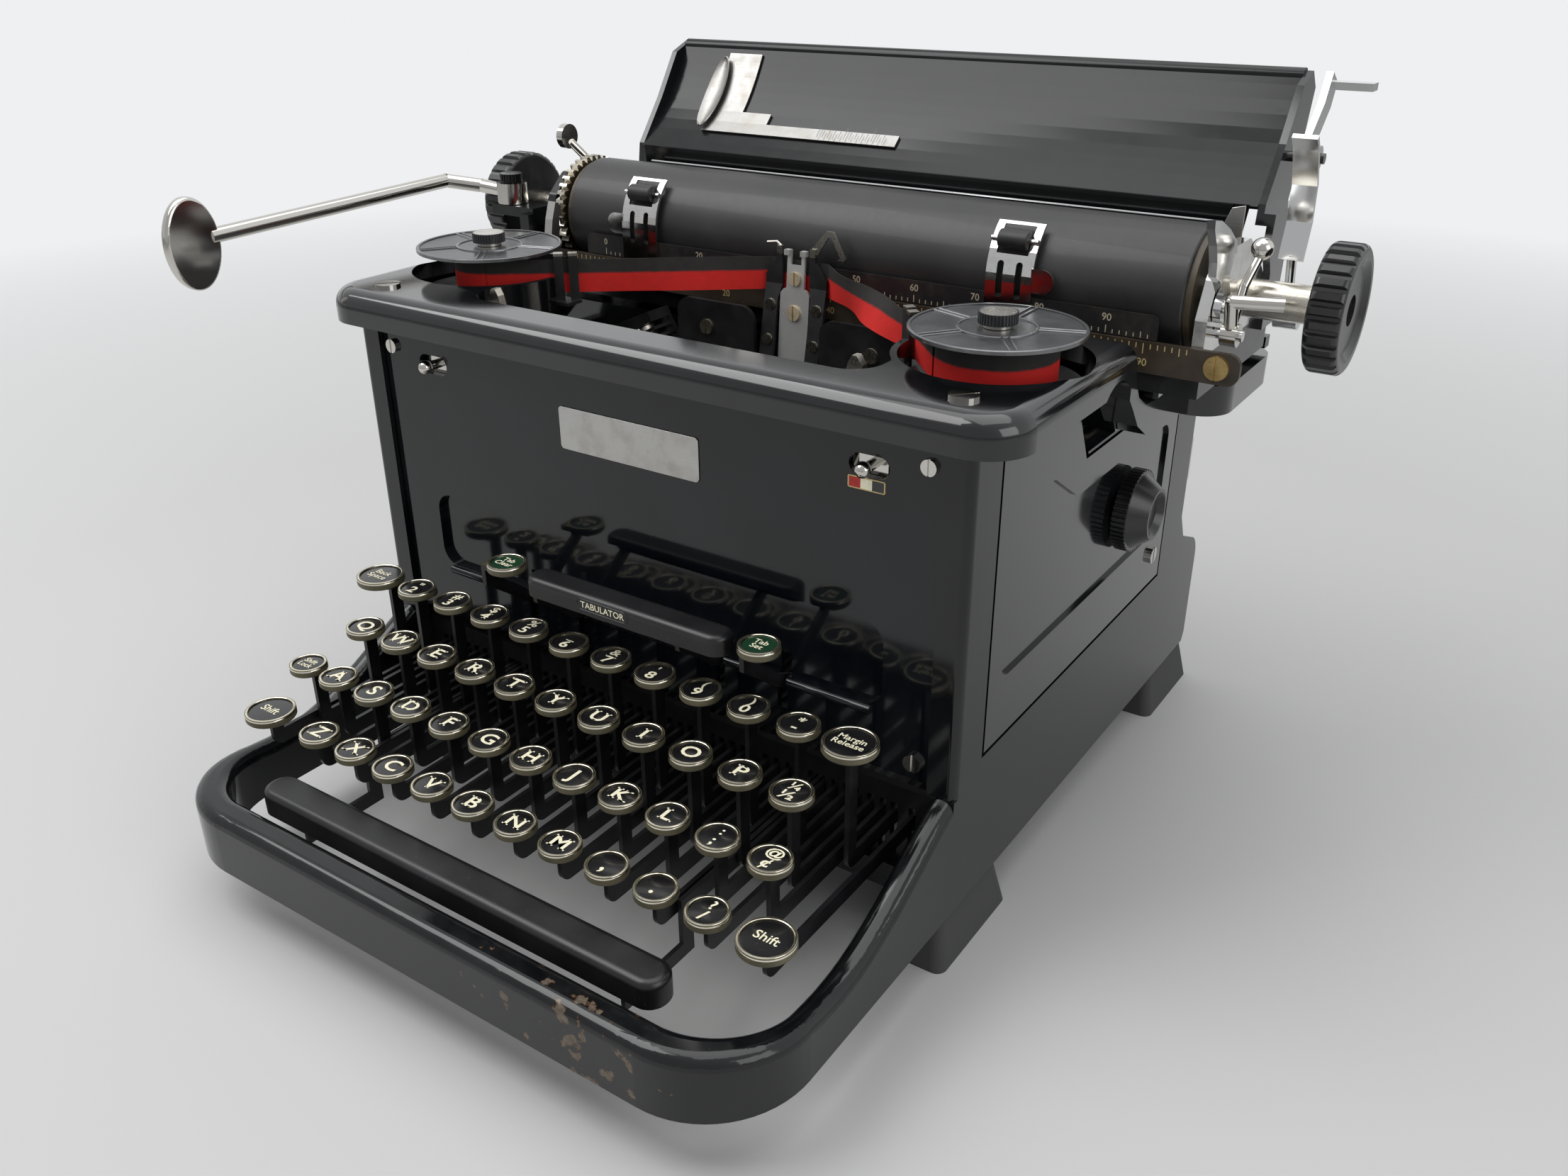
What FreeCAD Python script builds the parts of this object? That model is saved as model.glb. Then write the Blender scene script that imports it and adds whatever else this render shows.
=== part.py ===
"""Desk typewriter with type bars, a four-bank keyboard and a sliding carriage.

Millimetres, +Z up, +X to the typist's right, +Y to the rear. The origin is the centre of the
four feet on the table. The carriage stands where it rests, a little right of the middle.
"""
import FreeCAD, Part
import os
from math import asin, atan2, cos, hypot, pi, radians, sin

V = FreeCAD.Vector

# ------------------------------------------------------------------ driving dimensions
# Frame casting
HALF_WIDTH = 127.6          # centre plane to the outside of a side wall
WALL = 5.0                  # casting wall
FRONT_Y = -116.3            # front edge of the side walls
WALL_REAR_Y = 87.0          # rear edge of the side walls
BASE_Z = 20.0               # underside of the casting, on its feet
WALL_FOOT_Z = 66.0          # where the front loop's arms meet the walls
FLARE_TOP_Z = 91.0          # rear wall starts to flare
FLARE_Z = 75.0              # flat top of the flared rear base
FLARE_Y = 115.0             # rear face of the flared base
LEDGE_WIDTH = 16.0          # inner base flange
LEDGE_HEIGHT = 7.0
FLANGE_WIDTH = 10.0         # front flange of a side wall
FLANGE_DEPTH = 4.0
CROSS_BAR_DEPTH = 10.0
CROSS_BAR_HEIGHT = 10.0
REAR_BAR_Y = 72.0
REAR_WINDOW_HALF = 95.0
REAR_WINDOW_Z = (88.0, 146.0)
HANG = 0.3                  # clearance between pieces that do not touch
SLIP = 0.05                 # radial clearance of a running fit

# Front loop
LOOP_FRONT_Y = -234.0
LOOP_CORNER = 35.0
LOOP_ARM = 9.0
LOOP_NOSE = 12.0
LOOP_ROUND = 4.0
LOOP_TOP = ((-106.0, 68.5), (-118.0, 65.0), (-134.0, 57.0), (-155.0, 46.5), (-177.0, 40.0),
            (-205.0, 41.0), (-240.0, 42.5))      # y, z along the top of an arm

# Side panels
PANEL_FRONT_Y = -98.0
PANEL_REAR_Y = 64.0
PANEL_BOTTOM_Z = 73.0
PANEL_STEP_Y = -44.0        # the panel is tall under the cover and low under the bed
PANEL_DEPTH = 3.0
PANEL_GAP = 1.3             # groove round the panel
FIELD_DEPTH = 1.2           # embossed field
FIELD_ROUND = 6.0
FIELD_MARGIN = 10.0
FIELD_BOTTOM_Z = 97.0
FIELD_TOP_Z = 156.0
FIELD_LOW_TOP_Z = 143.0

# Front panel
FACE_Y = -114.1
FACE_T = 2.5
FACE_BOTTOM_Z = 68.0
RECESS_HALF = 99.0
RECESS_Z = (90.5, 120.0)
RECESS_ROUND = 7.0
TRAY_T = 1.5
RIDGE_R = 1.6
STUD_X = 92.2
STUD_Z = 171.4
STUD_R = 1.7
STUD_TRAVEL = 3.5
STUD_SLOT_HEIGHT = 7.0

# Top cover
COVER_HALF = 141.0
COVER_FRONT_Y = -123.0
COVER_REAR_Y = -31.0
COVER_TOP_Z = 195.6
LIP_Z = 183.5
COVER_CORNER = 16.0
COVER_ROLL = 6.5
COVER_TOP_T = 4.0
LIP_T = 5.5
OPENING_HALF = 84.0
OPENING_FRONT_Y = -104.0
OPENING_ROUND = 11.0
WELL_X = 107.8
WELL_Y = -65.5
WELL_R = 30.3
WELL_FLOOR = 1.8
ARCH_Y = -46.0
ARCH_R = 13.0

# Carriage bed
BED_Z = 157.0
BED_TOP_Z = 170.0
BED_FRONT_Y = -8.0
BED_REAR_Y = 100.0
BED_HALF = 139.7
BED_CORNER = 16.0
BED_LIP_W = 11.7
BED_LIP_X = BED_HALF - BED_LIP_W
WING_HALF = 156.0
WING_Y = (18.0, 80.0)
WING_ROUND = 12.0
BED_NOTCH = 5.5             # depth of the rear wall's notch under the drive window
RAIL_H = 3.5
RAIL_W = 6.0
FRONT_RAIL_Y = -2.0
REAR_RAIL_Y = 56.0

# Feet
FOOT_X = HALF_WIDTH - 13.0   # half the spacing of the feet across
FOOT_Y = 97.0               # half the spacing front to rear
FOOT_LENGTH = 50.0
FOOT_WIDTH = 30.0
FOOT_TAPER = 4.0            # each side draws in by this from sole to top
BOLT_R = 3.3                # hold-down hole
BOSS_R = 9.0
BOSS_HEIGHT = 10.0          # low enough for the shift levers to pass over when pressed
BOLT_DEPTH = 8.0            # hole in a boss

# Keyboard
KEY_PITCH = 19.05
KEY_STAGGER = KEY_PITCH / 4.0
KEY_X0 = -96.8              # centre of the first key of the upper bank
BANK_PITCH_Y = 18.3
BANK_PITCH_Z = 11.0
BOTTOM_BANK_Y = -194.3
BOTTOM_BANK_Z = 60.0
BUTTON_R = 6.9
BUTTON_H = 3.0
BUTTON_RIM = 1.1
BUTTON_DISH = 0.6
LEVER_T = 1.6
LEVER_Z = (44.8, 50.6)
LEVER_ROUND = 4.2            # lower front corner of a lever
STEM_FRONT = 1.2            # stem's front edge, ahead of its key's centre
STEM_DEPTH = 4.8
FULCRUM_Y = 60.0
FULCRUM_Z = 44.0
FULCRUM_R = 3.0
HUB_R = 6.0
COMB_Y = -108.5
COMB_T = 3.0
COMB_Z = (30.0, 60.0)
COMB_SLOT_W = 2.6
COMB_SLOT_Z = (31.5, 53.0)
SHIFT_R = 8.9
SHIFT_X = 109.7
SHIFT_LOCK_X = -109.0
SHIFT_LOCK_LEVER_X = -105.8
BACKSPACE_X = -107.4
BACKSPACE_LEVER_X = -101.6
MARGIN_KEY_X = 102.9
BACKSPACE_R = 8.8
SHIFT_LOCK_R = 6.7
CRANK_T = 2.0

# Space bar and tabulator keys
SPACE_X = (-90.0, 87.0)
SPACE_Y = (-218.0, -205.0)
SPACE_Z = (37.5, 47.0)
SPACE_LEVER_X = (-70.6, 72.3)
SPACE_FOOT_Z = (29.0, 34.0)
SPACE_RISER_GAP = 0.7       # between a pressed key button and the riser behind it
SPACE_RISER_W = 5.3
TAB_Y = -135.0
TAB_TOP_Z = 113.5
TAB_BAR_X = (-30.0, 55.0)
TAB_BAR_W = 11.0
TAB_BAR_H = 7.0
TAB_CLEAR_X = -42.4
TAB_SET_X = 66.4
TAB_BAR_STEM_X = (-28.0, 35.0)
TAB_CLEAR_STEM_X = -52.5
TAB_SET_STEM_X = 61.0
TAB_KEY_R = 6.9
TAB_SLOT_Z = (78.0, 98.0)
TAB_SLOT_W = 4.0
TAB_STEM_T = 1.8
TAB_PIVOT_Y = -62.0
TAB_PIVOT_Z = 76.0

# Type basket
PRINT_Z = 204.0             # height of the printing point
PRINT_Y = -12.6             # just in front of the ribbon
BAR_LENGTH = 76.0           # pivot to printing point
BAR_PIVOT_Y = -24.0
BAR_COUNT = 42
BAR_STEP = 3.0              # degrees between neighbours
BAR_SWING = 115.0           # degrees from rest to printing point
BAR_T = 1.6
BAR_W = 5.0
SLUG_T = 3.2
SLUG_H = 9.0
ACTIVE_BAR = 20             # the bar with its own key
SEGMENT_R = (66.0, 84.0)
SEGMENT_Y = (-30.0, -17.0)
SEGMENT_SLOT = 2.1
SEGMENT_HALF_ANGLE = 66.0
WIRE_R = 1.2
WING_PLATE_X = (15.0, 52.0)
WING_PLATE_Y = (-21.0, -19.0)
WING_PLATE_Z = (137.0, 183.0)
GUIDE_HALF = 6.5            # below the shoulders
GUIDE_NECK_HALF = 3.9       # above them
GUIDE_SHOULDER_Z = 190.6
GUIDE_LUG_HALF = 4.8
GUIDE_TOP_Z = 205.4
GUIDE_NOTCH_Z = 199.8
GUIDE_NOTCH_HALF = 2.4
GUIDE_T = 1.2
GUIDE_TOP_Y = -13.5
GUIDE_BEND_Z = 163.0
GUIDE_BEND_Y = -17.0
GUIDE_FOOT_Z = 124.0

# Ribbon
SPOOL_R = 27.5
SPOOL_FLANGE_T = 0.8
SPOOL_BOTTOM_Z = 187.0
SPOOL_TOP_Z = 204.3
SPOOL_CORE_R = 9.0
SPINDLE_R = 3.0
NUT_R = 6.2
NUT_TOP_Z = 209.2
RIBBON_Z = (188.8, 201.5)
RIBBON_T = 0.4
RIBBON_Y = -11.8
VIBRATOR_T = 1.5
VIBRATOR_LINE = ((-19.7, 150.0), (-19.7, 161.0), (-17.8, 170.0), (-15.2, 184.0), (-13.3, 192.0),
                 (-13.3, 206.5))        # y, z up the middle of its arms
VIBRATOR_ARM = ((7.4, 150.0), (13.6, 150.0), (13.6, 195.5), (8.5, 201.5), (8.5, 206.5),
                (6.1, 206.5), (6.1, 192.0), (7.4, 187.0))       # x, z round one arm
RUNNER_X = 11.4
RUNNER_Y = -12.2
RUNNER_R = 1.2
RUNNER_Z = (145.0, 165.0)
PACK_R_LEFT = 14.0
PACK_R_RIGHT = 19.5
POST_LEFT = ((-76.1, -61.6), (-72.0, -58.0))     # guide posts inboard of the left spool
POST_RIGHT = ((75.9, -62.7), (72.0, -58.0))
POST_TURN = 42.0                                 # about z, in line with the ribbon
POST_W = 3.4
POST_T = 1.4
POST_GAP = 1.8               # from a post's middle back to the ribbon
POST_TOP_Z = 204.0
REVERSE_Y = -95.0

# Platen and carriage
REST_SHIFT = 14.8           # how far right of the middle the carriage rests
PLATEN_Y = 14.0
PLATEN_Z = 203.9
PLATEN_R = 21.9
PLATEN_X = (-118.5, 145.5)
SHAFT_R = 5.0
RING_R = 20.6
RING_T = 2.2
RATCHET_R = 22.6
RATCHET_T = 4.0
RATCHET_TEETH = 40
KNOB_R = 20.8
KNOB_T = 11.0
KNOB_LEFT_X = -171.0        # outer face
KNOB_RIGHT_X = 194.0        # outer face
KNOB_FLUTES = 28
SLEEVE_R = 6.2
SLEEVE_X = (157.0, 181.5)
END_LEFT_X = -134.0
END_RIGHT_X = 150.5
END_T = 4.0
CARRIAGE_Z = 173.8          # underside of the carriage, on its rails
FRONT_BAR_Y = (-9.0, -5.0)
FRONT_BAR_TOP_Z = 186.0
REAR_BAR_Y0 = 52.0
REAR_BAR_Y1 = 66.0
REAR_BAR_TOP_Z = 184.0
RACK_Y = (69.0, 74.0)
RACK_Z = (172.2, 176.5)
MARGIN_X = (-138.0, 167.5)
MARGIN_Z = (180.5, 191.0)
MARGIN_T = 2.0
SCALE_X = (-108.0, 139.0)
SCALE_Z = (191.3, 199.5)
SCALE_T = 0.8
SCALE_FRONT_Y = -9.6
FINGER_LEFT_X = -78.5
FINGER_RIGHT_X = 85.4
FINGER_W = 17.4
FINGER_T = 1.1
FINGER_ARC = 50.0           # how far the finger curls over the platen, in degrees
FINGER_SLOT_Z = (198.4, 211.0)
FINGER_TAB_R = 4.1
FINGER_ROLLER_R = 3.4
FINGER_ROLLER_W = 11.0
FINGER_ROLLER_ANGLE = 33.0  # degrees above the level of the platen's axis, towards the front
FEED_R = 5.0
FEED_LENGTH = 50.0
STOP_W = 9.0
HOOK_Y = -1.0                # pivot of the hooked release lever
HOOK_Z = 203.0
HOOK_HUB_R = 5.0
HOOK_BLADE = ((-3.6, 1.0), (-3.6, 4.5), (-9.4, 10.0), (-15.0, 12.8), (-16.0, 17.5), (-18.8, 23.1),
              (-23.0, 28.5), (-23.7, 31.5), (-16.8, 30.4), (-6.7, 26.2), (2.5, 20.9), (4.2, 17.5),
              (1.0, 13.3), (-0.9, 9.9), (3.5, 4.1), (3.5, 1.0))      # y, z from the pivot
PAPER_RELEASE_Y = 42.0       # pivot of the strap lever
PAPER_RELEASE_Z = 192.0
PAWL_Y = -14.0               # pivot of the line space pawl
PAWL_Z = 195.2

# Paper table
TABLE_X = (-121.0, 150.5)
TABLE_BOTTOM = (45.4, 226.6)        # y, z of its lower edge
TABLE_TOP = (80.0, 268.0)
TABLE_BULGE = 3.5
TABLE_T = 1.4
TABLE_ROLL_R = 3.2
BRACKET_T = 2.5
ARM_Y = 62.0                 # pivot of the arm on the right bracket
ARM_Z = 242.0
GUIDE_PLATE_X = (-94.0, -62.0)
GUIDE_STRIP_END_X = 3.0

# Return lever
LEVER_PIVOT_X = -151.0
LEVER_PIVOT_Y = -8.0
LEVER_ROD_R = 2.9
PADDLE_CENTRE = (-181.0, -143.5, 210.0)
PADDLE_LENGTH = 22.0
PADDLE_HEIGHT = 34.0
PADDLE_T = 4.0

# Side knob
SIDE_KNOB_Y = 14.0
SIDE_KNOB_Z = 121.0
SIDE_KNOB_R = 15.5
SIDE_KNOB_T = 5.0
SIDE_KNOB_CAP_R = 12.5
SIDE_KNOB_CAP_T = 6.5

# Drive
DRUM_X = -68.0
DRUM_Z = 128.0
DRUM_R = 24.0
DRUM_T = 12.0
PINION_R = 12.0
PINION_Z = 160.0
WHEEL_R = 15.0
WHEEL_SHAFT_R = 2.5
WHEEL_SHAFT_Y = (58.0, 96.0)
BELL_R = 22.0
BELL_X = 60.0
BELL_Z = 128.0



# ------------------------------------------------------------------ small helpers
def box(x, y, z):
    """Block between the given pairs of limits."""
    return Part.makeBox(x[1] - x[0], y[1] - y[0], z[1] - z[0], V(x[0], y[0], z[0]))


def rod(start, end, radius):
    """Cylinder from one point to another."""
    a = V(*start)
    way = V(*end) - a
    return Part.makeCylinder(radius, way.Length, a, way)


def bent_rod(points, radius):
    """Round rod along straight runs, with a ball at each bend."""
    shape = rod(points[0], points[1], radius)
    for start, end in zip(points[1:], points[2:]):
        ball = Part.makeSphere(radius * 1.02, V(*start))
        shape = shape.fuse([ball, rod(start, end, radius)])
    return shape


def prism(points, axis, start, end):
    """Polygon in the plane across an axis, extruded between two places on it.

    Points are (y, z) across X, (x, z) across Y and (x, y) across Z.
    """
    if axis == "x":
        corners = [V(start, a, b) for a, b in points]
        way = V(end - start, 0, 0)
    elif axis == "y":
        corners = [V(a, start, b) for a, b in points]
        way = V(0, end - start, 0)
    else:
        corners = [V(a, b, start) for a, b in points]
        way = V(0, 0, end - start)
    wire = Part.makePolygon(corners + [corners[0]])
    return Part.Face(wire).extrude(way)


def edges_along(shape, axis, keep=None):
    """Straight edges parallel to an axis, where keep(middle) allows."""
    found = []
    for edge in shape.Edges:
        if edge.Curve.TypeId != "Part::GeomLine":
            continue
        start = edge.Vertexes[0].Point
        way = edge.Vertexes[-1].Point - start
        if way.Length < 1e-6 or abs(abs(way.normalize().dot(axis)) - 1.0) > 1e-4:
            continue
        middle = edge.valueAt((edge.FirstParameter + edge.LastParameter) / 2.0)
        if keep is None or keep(middle):
            found.append(edge)
    return found


def rounded(shape, radius, axis, keep=None):
    """The shape with its edges along an axis rounded."""
    edges = edges_along(shape, axis, keep)
    return shape.makeFillet(radius, edges)


def fused(shapes):
    """One solid from touching solids, without seams in flat faces."""
    whole = shapes[0].fuse(shapes[1:]) if len(shapes) > 1 else shapes[0]
    return whole.removeSplitter()


def mirrored(shape):
    """The shape on the other side of the centre plane."""
    return shape.mirror(V(0, 0, 0), V(1, 0, 0))


def group(shapes):
    """Separate solids that share one node."""
    return Part.makeCompound(shapes)


def placed(shape, origin, x_dir, y_dir, z_dir):
    """Shape moved from its own frame to the frame with the given directions."""
    matrix = FreeCAD.Matrix(x_dir.x, y_dir.x, z_dir.x, origin.x,
                            x_dir.y, y_dir.y, z_dir.y, origin.y,
                            x_dir.z, y_dir.z, z_dir.z, origin.z,
                            0, 0, 0, 1)
    moved = shape.copy()
    moved.transformShape(matrix)
    return moved


def slotted_screw(x, y, z, axis, radius, height, slot):
    """Cheese-head screw with its head standing out along axis from the given seat."""
    way = V(*axis)
    head = Part.makeCylinder(radius, height, V(x, y, z), way)
    across = V(0, 0, 1) if abs(way.z) < 0.5 else V(1, 1, 0).normalize()
    side = way.cross(across)
    cut = Part.makeBox(2.4 * radius, slot, slot, V(-1.2 * radius, -slot / 2.0, height - slot * 0.7))
    cut = placed(cut, V(x, y, z), across, side, way)
    return head.cut(cut)


def knurled_disc(centre, axis, radius, thickness, teeth, depth):
    """Disc with a fluted rim; axis is "x" or "z", centre is the middle of its first face."""
    points = []
    for index in range(teeth):
        for share, reach in ((0.0, radius), (0.45, radius), (0.6, radius - depth), (0.85, radius - depth)):
            angle = 2.0 * pi * (index + share) / teeth
            points.append((reach * cos(angle), reach * sin(angle)))
    if axis == "x":
        points = [(centre[1] + a, centre[2] + b) for a, b in points]
        return prism(points, "x", centre[0], centre[0] + thickness)
    points = [(centre[0] + a, centre[1] + b) for a, b in points]
    return prism(points, "z", centre[2], centre[2] + thickness)


def strip(points, thickness, axis, start, end):
    """Sheet of one thickness that follows a polyline in the plane across an axis."""
    left = []
    right = []
    for index, point in enumerate(points):
        before = points[max(index - 1, 0)]
        after = points[min(index + 1, len(points) - 1)]
        run = (after[0] - before[0], after[1] - before[1])
        length = hypot(*run)
        normal = (-run[1] / length, run[0] / length)
        left.append((point[0] + normal[0] * thickness / 2.0, point[1] + normal[1] * thickness / 2.0))
        right.append((point[0] - normal[0] * thickness / 2.0, point[1] - normal[1] * thickness / 2.0))
    return prism(left + right[::-1], axis, start, end)


def arc_points(centre, radius, first, last, count):
    """Points on a circle from one angle to another, in degrees."""
    step = (last - first) / (count - 1)
    angles = [radians(first + step * index) for index in range(count)]
    return [(centre[0] + radius * cos(a), centre[1] + radius * sin(a)) for a in angles]


# ------------------------------------------------------------------ frame
def front_loop():
    """Bull-nosed loop that runs round the keyboard."""
    outer = box((-HALF_WIDTH, HALF_WIDTH), (LOOP_FRONT_Y, FRONT_Y), (BASE_Z, 70.0))
    outer = rounded(outer, LOOP_CORNER, V(0, 0, 1), lambda p: p.y < LOOP_FRONT_Y + 1)
    inner_half = HALF_WIDTH - LOOP_ARM
    inner_front = LOOP_FRONT_Y + LOOP_NOSE
    inner = box((-inner_half, inner_half), (inner_front, FRONT_Y + 1), (BASE_Z - 1, 71.0))
    inner = rounded(inner, LOOP_CORNER - LOOP_ARM, V(0, 0, 1), lambda p: p.y < inner_front + 1)
    loop = outer.cut(inner)
    curve = Part.BSplineCurve()
    curve.interpolate([V(-HALF_WIDTH - 1, y, z) for y, z in LOOP_TOP])
    first = V(-HALF_WIDTH - 1, LOOP_TOP[0][0], LOOP_TOP[0][1])
    last = V(-HALF_WIDTH - 1, LOOP_TOP[-1][0], LOOP_TOP[-1][1])
    low_last = V(last.x, last.y, BASE_Z)
    low_first = V(first.x, first.y, BASE_Z)
    outline = Part.Wire([curve.toShape(), Part.makeLine(last, low_last),
                         Part.makeLine(low_last, low_first), Part.makeLine(low_first, first)])
    profile = Part.Face(outline).extrude(V(2 * HALF_WIDTH + 2, 0, 0))
    loop = loop.common(profile)
    top_edges = []
    for face in loop.Faces:
        if face.Surface.TypeId == "Part::GeomPlane" or face.Surface.TypeId == "Part::GeomCylinder":
            continue
        for edge in face.Edges:
            if edge.BoundBox.YLength > 0.01:
                top_edges.append(edge)
            elif edge.BoundBox.YMax < inner_front + 1:
                top_edges.append(edge)
    loop = loop.makeFillet(LOOP_ROUND, top_edges)
    return loop


def panel_outline(inset):
    """Side panel outline in Y and Z, drawn in by the inset."""
    low_top = BED_Z - 1.0 - inset
    high_top = LIP_Z - 1.0 - inset
    return [(PANEL_FRONT_Y + inset, PANEL_BOTTOM_Z + inset),
            (PANEL_FRONT_Y + inset, high_top),
            (PANEL_STEP_Y - inset, high_top),
            (PANEL_STEP_Y + 14.0 - inset, low_top),
            (PANEL_REAR_Y - inset, low_top),
            (PANEL_REAR_Y - inset, PANEL_BOTTOM_Z + inset)]


def side_wall():
    """Right side wall with its front flange, base ledge and the pocket for its panel."""
    inside = HALF_WIDTH - WALL
    low = box((inside, HALF_WIDTH), (FRONT_Y, WALL_REAR_Y), (BASE_Z, WALL_FOOT_Z))
    rear = box((inside, HALF_WIDTH), (PANEL_STEP_Y, WALL_REAR_Y), (WALL_FOOT_Z, BED_Z))
    tall = box((inside, HALF_WIDTH), (FRONT_Y, PANEL_STEP_Y), (WALL_FOOT_Z, LIP_Z - HANG))
    flange = box((HALF_WIDTH - FLANGE_WIDTH, HALF_WIDTH), (FRONT_Y, FRONT_Y + FLANGE_DEPTH),
                 (WALL_FOOT_Z, LIP_Z - HANG))
    upper = fused([tall, flange, rear])
    upper = rounded(upper, 3.0, V(0, 0, 1), lambda p: p.x > HALF_WIDTH - 0.1 and p.y < FRONT_Y + 0.1)
    ledge = box((HALF_WIDTH - LEDGE_WIDTH, HALF_WIDTH), (FRONT_Y, WALL_REAR_Y),
                (BASE_Z, BASE_Z + LEDGE_HEIGHT))
    wall = fused([low, upper, ledge])
    pocket = prism(panel_outline(0.0), "x", HALF_WIDTH - PANEL_DEPTH, HALF_WIDTH + 1)
    return wall.cut(pocket)


def cover_pad():
    """Pad on a front flange that the top cover's screw pulls down on."""
    x = (HALF_WIDTH - FLANGE_WIDTH - 6.0, HALF_WIDTH - WALL)
    return box(x, (FACE_Y + FACE_T, FRONT_Y + 16.0),
               (LIP_Z - 14.0, COVER_TOP_Z - COVER_TOP_T - HANG))


def rear_base():
    """Hollow flared base behind the rear wall."""
    outer = [(WALL_REAR_Y - WALL, BASE_Z), (FLARE_Y - 2.0, BASE_Z), (FLARE_Y, BASE_Z + 4.0)]
    outer += [(FLARE_Y, FLARE_Z - 12.0)]
    outer += arc_points((FLARE_Y - 12.0, FLARE_Z - 12.0), 12.0, 15.0, 75.0, 5)
    outer += [(WALL_REAR_Y + 6.0, FLARE_Z + 5.0), (WALL_REAR_Y, FLARE_TOP_Z)]
    outer += [(WALL_REAR_Y - WALL, FLARE_TOP_Z)]
    shell = prism(outer, "x", -HALF_WIDTH, HALF_WIDTH)
    inner = [(WALL_REAR_Y - WALL - 1, BASE_Z - 1), (FLARE_Y - WALL, BASE_Z - 1)]
    inner += [(FLARE_Y - WALL, FLARE_Z - 14.0), (FLARE_Y - 14.0, FLARE_Z - WALL)]
    inner += [(WALL_REAR_Y - WALL - 1, FLARE_Z - WALL)]
    return shell.cut(prism(inner, "x", -HALF_WIDTH + WALL, HALF_WIDTH - WALL))


def rear_wall():
    """Rear wall with the window that the rear cover closes."""
    inside = HALF_WIDTH - WALL
    wall = box((-inside, inside), (WALL_REAR_Y - WALL, WALL_REAR_Y), (FLARE_Z - WALL, BED_Z))
    window = box((-REAR_WINDOW_HALF, REAR_WINDOW_HALF), (WALL_REAR_Y - WALL - 1, WALL_REAR_Y + 1),
                 REAR_WINDOW_Z)
    notch = box((-WHEEL_R - 6, WHEEL_R + 6), (WALL_REAR_Y - WALL - 1, WALL_REAR_Y + 1),
                (BED_Z - BED_NOTCH, BED_Z + 1))
    return wall.cut(group([rounded(window, 8.0, V(0, 1, 0)), notch]))


def foot_bosses():
    """Four bosses inside the base that the hold-down bolts screw into."""
    return [Part.makeCylinder(BOSS_R, BOSS_HEIGHT, V(sx * FOOT_X, sy * FOOT_Y, BASE_Z))
            for sy in (-1, 1) for sx in (-1, 1)]


def main_frame():
    """The enamelled casting: rear, side walls, cross bars and front loop, face to face."""
    inside = HALF_WIDTH - WALL
    ledge_z = (BASE_Z, BASE_Z + CROSS_BAR_HEIGHT)
    bosses = foot_bosses()
    rear = fused([rear_base(), rear_wall()] + bosses[2:])
    wall = side_wall().cut(rear)
    right = fused([wall, cover_pad(), bosses[1]])
    left = fused([mirrored(wall), mirrored(cover_pad()), bosses[0]])
    front_bar = box((-inside, inside), (COMB_Y - 5.0, COMB_Y + 5.0), ledge_z)
    rear_bar = box((-inside, inside), (REAR_BAR_Y, WALL_REAR_Y - WALL), ledge_z)
    sides = group([right, left])
    castings = [rear, right, left, front_bar.cut(sides), rear_bar.cut(sides), front_loop()]
    holes = [Part.makeCylinder(BOLT_R, BOLT_DEPTH + 1, V(sx * FOOT_X, sy * FOOT_Y, BASE_Z - 1))
             for sx in (-1, 1) for sy in (-1, 1)]
    holes.append(rod((HALF_WIDTH - 20, SIDE_KNOB_Y, SIDE_KNOB_Z),
                     (HALF_WIDTH + 5, SIDE_KNOB_Y, SIDE_KNOB_Z), 4.0 + SLIP))
    return group([casting.cut(group(holes)) for casting in castings])


def side_panels():
    """Embossed plates that close the walls' pockets."""
    top = FIELD_TOP_Z
    field = [(PANEL_FRONT_Y + FIELD_MARGIN, FIELD_BOTTOM_Z), (PANEL_FRONT_Y + FIELD_MARGIN, top),
             (-57.0, top), (-36.0, FIELD_LOW_TOP_Z), (PANEL_REAR_Y - FIELD_MARGIN, FIELD_LOW_TOP_Z),
             (PANEL_REAR_Y - FIELD_MARGIN, FIELD_BOTTOM_Z)]
    pocket = prism(field, "x", HALF_WIDTH - FIELD_DEPTH, HALF_WIDTH + 1)
    pocket = rounded(pocket, FIELD_ROUND, V(1, 0, 0))
    plate = prism(panel_outline(PANEL_GAP), "x", HALF_WIDTH - PANEL_DEPTH, HALF_WIDTH)
    plate = plate.cut(pocket)
    left = mirrored(plate)
    bore = rod((HALF_WIDTH - 20, SIDE_KNOB_Y, SIDE_KNOB_Z), (HALF_WIDTH + 5, SIDE_KNOB_Y, SIDE_KNOB_Z),
               4.0 + SLIP)
    return group([plate.cut(bore), left])


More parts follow.
